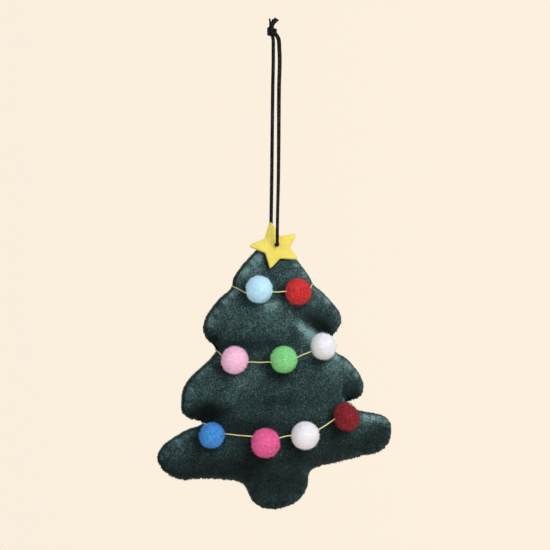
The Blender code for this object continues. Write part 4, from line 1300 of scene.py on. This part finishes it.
# A stitch's five places: the share of its slant, and the millimetres back and out
STITCH = (
    (-0.45, -1.1, -0.9), (-0.25, -0.7, -0.1), (0, 0, 0.15), (0.25, 0.7, -0.1), (0.45, 1.1, -0.9),
)
SLANT = 0.7
lowest = int(np.argmin(loop[:, 1]))
ordered = np.roll(loop, len(loop) // 2 - lowest, 0)
along = np.concatenate([[0], np.cumsum(np.linalg.norm(np.diff(ordered, axis=0), axis=1))])
away = edge_normals(ordered)
crossings = round(STITCHED / PITCH)
stitch_parts = []
for k in range(crossings):
    centre = along[len(loop) // 2] - STITCHED / 2 + (k + 0.5) * PITCH
    ends = []
    for share, swing, sink in STITCH:
        at = centre + share * PITCH * SLANT
        place = [np.interp(at, along, ordered[:, i]) for i in range(2)]
        out = [np.interp(at, along, away[:, i]) for i in range(2)]
        ends.append((place[0] + sink * MM * out[0], swing * MM, place[1] + sink * MM * out[1]))
    path = smooth_through(ends, 0.12 * MM)
    stitch_parts.append(tube(path, np.full((len(path), SEWING_SIDES), STITCH_RADIUS)))
closing = make_piece("closing_thread", *join(stitch_parts), sewing_thread)
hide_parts("closing_stitches")
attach(closing, "tree")
print("closing stitches", crossings)

# %% [markdown]
# ## The star
# The star is cut from one piece of yellow felt, 1.4 mm thick, with a hole for the cord in its
# middle. Felt has no threads: its edge is soft and its face is lightly mottled. It is a flat
# sheet of small triangles between a front and a back, rounded at the rim, a little dished.

# %% The star's sheet
star_at = np.array([-1.2, -5.9543, -89.0]) * MM
STAR_EDGE, STAR_STEP, STAR_RINGS = 0.45 * MM, 0.5 * MM, [0.18 * MM, 0.42 * MM]


def stepped(outline, spacing):
    """The outline's straight stretches cut into even steps, its corners a little eased."""
    stretches = []
    for a, b in zip(outline, np.roll(outline, -1, 0)):
        steps = max(1, round(float(np.linalg.norm(b - a)) / spacing))
        stretches.append(a + (b - a) * (np.arange(steps) / steps)[:, None])
    steps = np.concatenate(stretches)
    return 0.5 * steps + 0.25 * (np.roll(steps, 1, 0) + np.roll(steps, -1, 0))


star_loop = stepped(np.array(STAR_SHARES) * STAR_SIZE, STAR_EDGE)
# The sheet leans on the cord, so its hole is as wide as the cord's slanting way through it
star_hole = 1.1 * SQUEEZED * CORD / 2 / math.cos(STAR_LEAN)
star_hole += STAR_THICK / 2 * math.tan(STAR_LEAN)
star_flat, star_faces, _ = flat_sheet(star_loop, np.zeros(2), star_hole, STAR_RINGS, STAR_STEP)
print("star's hole", round(star_hole / MM, 2), "mm in radius")

# %% The felt star
STAR_ROUNDING, STAR_GRAIN, GRAIN_SIZE = 0.4 * MM, 0.05 * MM, 1.1 * MM
from_edge = line_distance(star_flat, ringed(star_loop))[0]
rounding = np.clip(from_edge / STAR_ROUNDING, 0, 1)
half = STAR_THICK / 2 * (0.55 + 0.45 * np.sqrt(1 - (1 - rounding) ** 2))
reach = np.linalg.norm(star_flat, axis=1)
dish = STAR_CUP * (reach / reach.max()) ** 2
c, s = math.cos(-STAR_LEAN), math.sin(-STAR_LEAN)
star_turn = np.array([[1, 0, 0], [0, c, -s], [0, s, c]])
star_sides = []
for side in (-1, 1):
    grain = cloud(raised(star_flat, side), GRAIN_SIZE, 31)
    height = side * (half + STAR_GRAIN * grain * (rounding > 0.5))
    star_sides.append(raised(star_flat, dish + height) @ star_turn.T + star_at)
star_points = np.concatenate(star_sides)
star_all = closed_bag(star_faces, len(star_flat))
star = make_piece("felt_star", star_points, star_all, yellow_felt)
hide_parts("star")
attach(star, "star")
print("star", len(star_all), "faces")

# %% Loose fibres on the felt
STAR_HAIRS, STAR_HAIR, STAR_HAIR_WIDTH = 9000, 0.35 * MM, 0.035 * MM
rng = np.random.default_rng(33)
star_out = outward_at(star_points, star_all)
roots, away = planted(star_points, star_out, star_all, STAR_HAIRS, rng)
lean = 1.6 * rng.normal(size=(STAR_HAIRS, 3))
length = STAR_HAIR * rng.uniform(0.5, 1.4, (STAR_HAIRS, 1))
tone = 0.5 + rng.normal(0, 0.15, STAR_HAIRS)
star_fuzz = make_hairs(
    "star_fuzz", roots, away, lean, length, STAR_HAIR_WIDTH, tone, felt_hair, rng
)
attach(star_fuzz, "star")
print("fibres", STAR_HAIRS)

# %% [markdown]
# ## The pom poms
# A craft pom pom is a bundle of curly fibres tied in the middle and trimmed to a ball, so it
# is a soft ball with a fuzzy edge. A sphere with a bump would look like a rubber ball. Here a
# lumpy ball gives the body and several thousand bent hairs give the skin and its edge. Each
# ball turns about its thread, so its axis is the joint's own.

# %% Wool in nine colours
WOOL = {
    "light_blue": ((0.33, 0.58, 0.74), (0.52, 0.78, 0.91), (0.68, 0.89, 0.96)),
    "red": ((0.30, 0.014, 0.016), (0.60, 0.036, 0.034), (0.76, 0.08, 0.075)),
    "pink": ((0.66, 0.33, 0.49), (0.87, 0.52, 0.70), (0.94, 0.68, 0.81)),
    "green": ((0.12, 0.43, 0.14), (0.24, 0.64, 0.25), (0.37, 0.77, 0.38)),
    "white_upper": ((0.66, 0.645, 0.68), (0.82, 0.81, 0.84), (0.88, 0.87, 0.9)),
    "blue": ((0.02, 0.13, 0.42), (0.06, 0.27, 0.65), (0.12, 0.42, 0.82)),
    "hot_pink": ((0.48, 0.045, 0.17), (0.745, 0.115, 0.31), (0.87, 0.23, 0.45)),
    "white_lower": ((0.66, 0.645, 0.68), (0.82, 0.81, 0.84), (0.88, 0.87, 0.9)),
    "dark_red": ((0.08, 0.004, 0.007), (0.215, 0.017, 0.024), (0.38, 0.04, 0.05)),
}
joints = {joint["name"]: joint for joint in frame["joints"]}


# %% The shape of one pom pom
POM_ROWS, POM_TURNS = 30, 48
POM_LUMPS = ((0.022, 0.55, 41), (0.018, 0.22, 42))
# How far a ball is drawn out, and to which side. The others stay round
POINTED = {"dark_red": (0.14, unit(np.array([-0.2, 0.2, 0.95])))}
NOT_POINTED = (0, (0, 0, 1))


def ball_grid(axis):
    """Unit directions in rows round an axis, then the two along it, and the faces between."""
    polar = np.linspace(0, math.pi, POM_ROWS + 1)[1:-1]
    around = around_path(POM_TURNS)
    across = unit(np.cross(axis, (0.3, 0.2, 1.0)))
    up = np.cross(axis, across)
    ring = np.cos(around)[:, None] * across + np.sin(around)[:, None] * up
    directions = np.cos(polar)[:, None, None] * axis + np.sin(polar)[:, None, None] * ring
    directions = np.concatenate([directions.reshape(-1, 3), [axis], [-axis]])
    starts, ahead = np.arange(POM_ROWS - 2)[:, None] * POM_TURNS, np.arange(POM_TURNS)
    a, b = starts + ahead, starts + np.roll(ahead, -1)
    faces = np.stack([a, a + POM_TURNS, b + POM_TURNS, b], -1).reshape(-1, 4).tolist()
    first, last = len(directions) - 2, len(directions) - 1
    end = (POM_ROWS - 2) * POM_TURNS
    for k in range(POM_TURNS):
        beside = (k + 1) % POM_TURNS
        faces += [[first, k, beside], [last, end + beside, end + k]]
    return unit(directions), faces


def pom_surface(size, centre, axis, directions, pull):
    """Places on a ball for unit directions. They are the centre, plus the part across the axis
    times the first size, plus the part on it times the second, lumpy by noise, dimpled where
    the thread goes in, and drawn out to one side where the ball is squeezed into a notch."""
    on_axis = directions @ axis
    shape = directions * size[0] + (size[1] - size[0]) * on_axis[:, None] * axis
    lumps = 1 + layered(directions, POM_LUMPS)
    lumps -= 0.09 * np.clip((np.abs(on_axis) - 0.965) / 0.035, 0, 1) ** 2
    lumps += pull[0] * np.clip(directions @ np.asarray(pull[1]), 0, 1) ** 5
    return centre + shape * lumps[:, None]


# %% Making one pom pom
POM_HAIRS, POM_HAIR, POM_HAIR_WIDTH = 6500, 0.9 * MM, 0.07 * MM
# How far the ball's skin lies within the pom pom's size, and the roots within that skin
SKIN_IN, ROOTS_IN = 0.45 * MM, 0.25 * MM
CLUMP = 0.16


def make_pom(colour, size, seed):
    """A pom pom of a colour and a size across and along its thread: a lumpy ball, and hairs
    that stand on it in clumps. Gives its middle and its axis."""
    node = f"pom_{colour}"
    centre, axis = middle_of(node), unit(np.array(joints[f"{node}_spin"]["axis"], float))
    rng = np.random.default_rng(seed)
    tones = three_tones(*WOOL[colour])
    wool = fibre_material(
        f"{colour} wool", tones, grain=0.7 * MM, fine=1.8, broad=0.4, relief=0.3 * MM,
        Roughness=0.95, Specular_IOR_Level=0.1, Sheen_Weight=0.08,
    )
    hair = hair_material(f"{colour} wool hair", tones, Roughness=0.95, Specular_IOR_Level=0.06)
    skin = np.array(size) * POM / 2 - SKIN_IN
    pull = POINTED.get(colour, NOT_POINTED)
    directions, faces = ball_grid(axis)
    points = pom_surface(skin, centre, axis, directions, pull)
    ball = make_piece(f"ball_{colour}", points, faces, wool)
    spread = unit(rng.normal(size=(POM_HAIRS, 3)))
    roots = pom_surface(skin - ROOTS_IN, centre, axis, spread, pull)
    lean = 0.8 * rng.normal(size=(POM_HAIRS, 3)) + 0.6 * cloud(spread, CLUMP, seed + 9)[:, None]
    length = POM_HAIR * rng.uniform(0.6, 1.35, (POM_HAIRS, 1))
    clumps = layered(spread, ((0.45, CLUMP, seed), (0.3, CLUMP / 2, seed + 1)))
    tone = 0.5 + clumps + rng.normal(0, 0.1, POM_HAIRS)
    fuzz = make_hairs(
        f"fuzz_{colour}", roots, spread, lean, length, POM_HAIR_WIDTH, tone, hair, rng
    )
    for piece in (ball, fuzz):
        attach(piece, node)
    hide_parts(node)
    return centre, axis


pom_places = {}
for number, (colour, _, _, *size) in enumerate(balls):
    pom_places[colour] = make_pom(colour, size, 50 + number)
print("pom poms", len(pom_places))

# %% [markdown]
# ## The gold threads
# Each row is a thin two-ply thread that goes through its pom poms, round the tree's edge and
# across the back, where it is tied. It is stiff enough to keep small kinks. A two-ply thread is
# two round plies twisted together, so its outline is widest along the line through both.


# %% Finding the velvet
def search_tree(side):
    """One side's surface, made ready for finding places on it."""
    points, _, facing = surfaces[side]
    return BVHTree.FromPolygons(points.tolist(), facing.tolist())


front_search, back_search = search_tree(-1), search_tree(1)


def on_velvet(x, z, side, stand):
    """A place off the velvet at x and z, a given distance along its outward direction."""
    search = front_search if side < 0 else back_search
    hit = search.ray_cast(Vector((x, side * 0.1, z)), Vector((0, -side, 0)))
    return np.array(hit[0]) + np.array(hit[1]) * stand


def cleared(path, stand):
    """The path with each place that is closer to the velvet than stand moved out to it."""
    moved = np.array(path)
    for station, place in enumerate(path):
        for _ in range(4):
            found = [s.find_nearest(Vector(moved[station])) for s in (front_search, back_search)]
            near = min(found, key=lambda hit: hit[3])
            if near[3] >= stand and (Vector(moved[station]) - near[0]).dot(near[1]) > 0:
                break
            moved[station] = np.array(near[0] + near[1] * (stand * 1.05))
    return moved


print("search trees for", len(surfaces), "sides")

# %% Routes of the threads
THREAD = 0.5 * MM
TIE_RADIUS = 1.1 * MM
STAND_OFF = 0.1 * MM
# On the back: the places on the way from the tie to the edge where the thread is laid on
BACK_SHARES = (0.25, 0.55, 0.82, 0.95)
KINKS = np.array([0.1, -0.15, 0.12, -0.1]) * MM
# How far above a ball's middle its thread goes in on the left and comes out on the right
THROUGH = {
    "light_blue": (-1.4, -1.1), "red": (0.2, 1.8), "pink": (2.2, -0.8), "green": (-1.1, 1.0),
    "white_upper": (-2.2, 0.5), "blue": (5.0, 0.7), "hot_pink": (2.9, 2.3),
    "white_lower": (0.1, 2.4), "dark_red": (-1.0, 5.6),
}


def thread_route(row, tie_at):
    """From the tie round the left edge, through the pom poms, round the right and back. From
    one ball to the next it is straight but for one small kink."""
    stand = THREAD / 2 + STAND_OFF
    stops = GARLANDS[row]
    ends = [tree_place(*stop[1:3]) for stop in (stops[0], stops[-1])]
    back = []
    for end in ends:
        places = [tie_at[[0, 2]] * (1 - share) + end * share for share in BACK_SHARES]
        back.append([on_velvet(*place, 1, stand) for place in places])
    edges = [np.array([e[0] + k * stand, 0, e[1]]) for e, k in zip(ends, (-1, 1))]
    marks = [edges[0]]
    for colour, _, _, across, along in stops[1:-1]:
        centre, axis = pom_places[colour]
        level = unit(np.array([abs(axis[0]), axis[1] * np.sign(axis[0]), 0]))
        for hand, height in zip((-1, 1), THROUGH[colour]):
            reach = math.sqrt((POM / 2 * across) ** 2 - (height * MM) ** 2)
            marks.append(centre + hand * reach * level + (0, 0, height * MM))
    marks.append(edges[1])
    route = [tie_at - (TIE_RADIUS, 0, 0), *back[0]]
    for number, (a, b) in enumerate(zip(marks[::2], marks[1::2])):
        kink = (0, 0, KINKS[number % len(KINKS)])
        route += [a, a * 0.9 + b * 0.1, (a + b) / 2 + kink, a * 0.1 + b * 0.9, b]
    route += [*back[1][::-1], tie_at + (TIE_RADIUS, 0, 0)]
    return route


# %% Threads and their ties
PLY_PITCH, PLY_SIDES = 2.6 * MM, 10
THREAD_STEP, TAIL_STEP = 0.35 * MM, 0.3 * MM
# The small unevenness of a thread: how far it strays, over what length, and a seed for each way
STRAY, STRAY_LONG, STRAY_SEEDS = 0.04 * MM, 1.6 * MM, (61, 62, 63)
# The tie's knot: how far out its ring lies, and how much that and its height change
TIE_RING, TIE_WAVE, TIE_PLACES = 0.62 * MM, 0.3 * MM, 90
# The places of the right cut end, in millimetres. The left one is its mirror image
TIE_TAIL = ((0.3, 0, -0.4), (0.8, 0.3, -2.2), (1.6, 0.5, -4.5))


def two_ply(path, closed=False):
    """A thread of two plies: its radius is R root(0.5 + 0.65 cos squared(a - ks)), where a is
    the turn round it and s the way along."""
    spacing = path_length(path) / (len(path) - 1)
    way = (np.arange(len(path)) * spacing)[:, None]
    twist = around_path(PLY_SIDES) - 2 * math.pi * way / PLY_PITCH
    radii = THREAD / 2 * np.sqrt(0.5 + 0.65 * np.cos(twist) ** 2)
    return tube(path, radii, (0.1, 0.2, 1), closed)


def trefoil():
    """The closed path of a simple knot, which goes twice round while it goes three times in
    and out: x and z are (R + w cos 3a) times the cosine and sine of 2a, and y is -w sin 3a."""
    turn = around_path(TIE_PLACES)
    ring = TIE_RING + TIE_WAVE * np.cos(3 * turn)
    depth = -TIE_WAVE * np.sin(3 * turn)
    return np.stack([ring * np.cos(2 * turn), depth, ring * np.sin(2 * turn)], 1)


for row in GARLANDS:
    tie_at = middle_of(f"tie_{row}")
    path = smooth_through(thread_route(row, tie_at), THREAD_STEP)
    stray = np.stack([cloud(path, STRAY_LONG, seed) for seed in STRAY_SEEDS], 1)
    path = cleared(path + STRAY * stray, THREAD / 2 + STAND_OFF / 2)
    thread = make_piece(f"thread_{row}", *two_ply(path), gold_thread)
    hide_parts(f"garland_{row}")
    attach(thread, "tree")
    parts = [two_ply(tie_at + trefoil(), True)]
    for hand in (-1, 1):
        tail = np.array(TIE_TAIL) * [hand, 1, 1] * MM
        parts.append(two_ply(smooth_through(tie_at + tail, TAIL_STEP)))
    tie = make_piece(f"knot_{row}", *join(parts), gold_thread)
    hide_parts(f"tie_{row}")
    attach(tie, "tree")
    print(row, "thread", round(path_length(path) / MM, 1), "mm")

# %% [markdown]
# ## Floor, backdrop and light
# The backdrop is warm cream paper that curves into the floor, well below the tree. A large
# soft lamp stands to the right, high and in front, and the sky fills the shadows. The lamps
# are set so that a colour comes out about as it is written.

# %% The backdrop's paper
CREAM = (0.973, 0.863, 0.73, 1)
PAPER = (0.9, 0.83, 0.74, 1)
FLOOR = -0.5
# The tone that the camera sees at the left and at the right, the right one lighter as painted
# light, and where on x each one starts
SEEN_LEFT, SEEN_RIGHT = (0.962, 0.856, 0.73, 1), (0.982, 0.872, 0.73, 1)
LEFT_X, RIGHT_X = 0.8, 1.3
SEEN_ABOVE = FLOOR + 0.12


def paper_material():
    """Paper that takes light and shadow, but that the camera sees at a tone of its own a little
    above the floor, so that no lamp leaves a spot on it; that tone is a little lighter to the
    right, a painted light. From behind it is clear."""
    made, tree, shader = new_material(
        "cream backdrop", Roughness=0.95, Specular_IOR_Level=0.1, Base_Color=PAPER
    )
    place = add_node(tree, "ShaderNodeTexCoord").outputs["Object"]
    apart = add_node(tree, "ShaderNodeSeparateXYZ", {"Vector": place}).outputs
    inputs = {"Value": apart["X"], "From Min": LEFT_X, "From Max": RIGHT_X}
    painted_light_drift = add_node(tree, "ShaderNodeMapRange", inputs).outputs["Result"]
    seen = add_ramp(tree, painted_light_drift, [(0.0, SEEN_LEFT), (1.0, SEEN_RIGHT)])
    glow = add_node(tree, "ShaderNodeEmission", {"Color": seen}).outputs["Emission"]
    inputs = {"Value": apart["Z"], "From Min": FLOOR, "From Max": SEEN_ABOVE}
    rise = add_node(tree, "ShaderNodeMapRange", inputs, interpolation_type="SMOOTHSTEP")
    camera_ray = add_node(tree, "ShaderNodeLightPath").outputs["Is Camera Ray"]
    share = worked_out(tree, "MULTIPLY", camera_ray, rise.outputs["Result"])
    inputs = {0: share, 1: shader.outputs["BSDF"], 2: glow}
    paper = add_node(tree, "ShaderNodeMixShader", inputs).outputs[0]
    behind = add_node(tree, "ShaderNodeNewGeometry").outputs["Backfacing"]
    clear = add_node(tree, "ShaderNodeBsdfTransparent").outputs["BSDF"]
    inputs = {0: worked_out(tree, "MULTIPLY", camera_ray, behind), 1: paper, 2: clear}
    shown = add_node(tree, "ShaderNodeMixShader", inputs).outputs[0]
    tree.links.new(shown, tree.nodes["Material Output"].inputs["Surface"])
    return made


# %% The backdrop's shape
# Half its width, where its floor starts, where its wall stands and ends, and its bend's radius
HALF_WIDE, FLOOR_FRONT = 6.0, -6.0
BEHIND, WALL_TOP, BEND_RADIUS = 5.0, 5.0, 0.5


def make_backdrop():
    """A floor 0.5 m below the origin, a quarter round and a wall 5 m behind, 12 m wide. It
    is seen from its upper side alone, so a view from below looks through it."""
    angle = np.linspace(0, math.pi / 2, 17)
    away = BEHIND - BEND_RADIUS + BEND_RADIUS * np.sin(angle)
    curve = np.stack([away, FLOOR + BEND_RADIUS * (1 - np.cos(angle))], 1)
    profile = np.concatenate([[(FLOOR_FRONT, FLOOR)], curve, [(BEHIND, WALL_TOP)]])
    x = np.tile([-HALF_WIDE, HALF_WIDE], len(profile))
    points = np.stack([x, *np.repeat(profile, 2, 0).T], 1)
    a = np.arange(len(profile) - 1) * 2
    faces = np.stack([a, a + 1, a + 3, a + 2], 1)
    return make_piece("backdrop", points, faces, paper_material())


make_backdrop()
print("backdrop stands", BEHIND, "m behind")


# %% The lamps
LIT_MIDDLE = Vector((0, 0, -0.12))
COOL, COOLER = (0.97, 0.985, 1.0), (0.96, 0.985, 1.0)


def add_lamp(name, place, size, watts, colour):
    """A square soft lamp that faces the tree."""
    data = bpy.data.lights.new(name, "AREA")
    data.shape, data.size, data.energy, data.color = "SQUARE", size, watts, colour
    lamp = bpy.data.objects.new(name, data)
    bpy.context.collection.objects.link(lamp)
    lamp.location = place
    lamp.visible_camera = False
    lamp.rotation_euler = (LIT_MIDDLE - Vector(place)).to_track_quat("-Z", "Y").to_euler()


add_lamp("key lamp", (0.5, -1.0, 0.6), 0.75, 12.0, COOL)
add_lamp("fill lamp", (-0.65, -1.15, -0.1), 0.9, 5.0, COOLER)
add_lamp("rim lamp", (0.9, 0.5, 0.6), 0.6, 4.5, COOL)
print("lamps", len(bpy.data.lights))

# %% The sky
# The camera sees cream where the paper ends, and everything else is lit by a pale grey
SKY_GREY = (0.43, 0.435, 0.45, 1)
sky = bpy.data.worlds.new("sky")
bpy.context.scene.world = sky
sky.use_nodes = True
background = sky.node_tree.nodes["Background"]
seen = add_node(sky.node_tree, "ShaderNodeLightPath").outputs["Is Camera Ray"]
# A mix of colours has its share at input 0, its two colours at 6 and 7, and gives output 2
tint = add_node(sky.node_tree, "ShaderNodeMix", {0: seen, 6: SKY_GREY, 7: CREAM}, data_type="RGBA")
sky.node_tree.links.new(tint.outputs[2], background.inputs["Color"])
background.inputs["Strength"].default_value = 1.0
print("sky", sky.name)
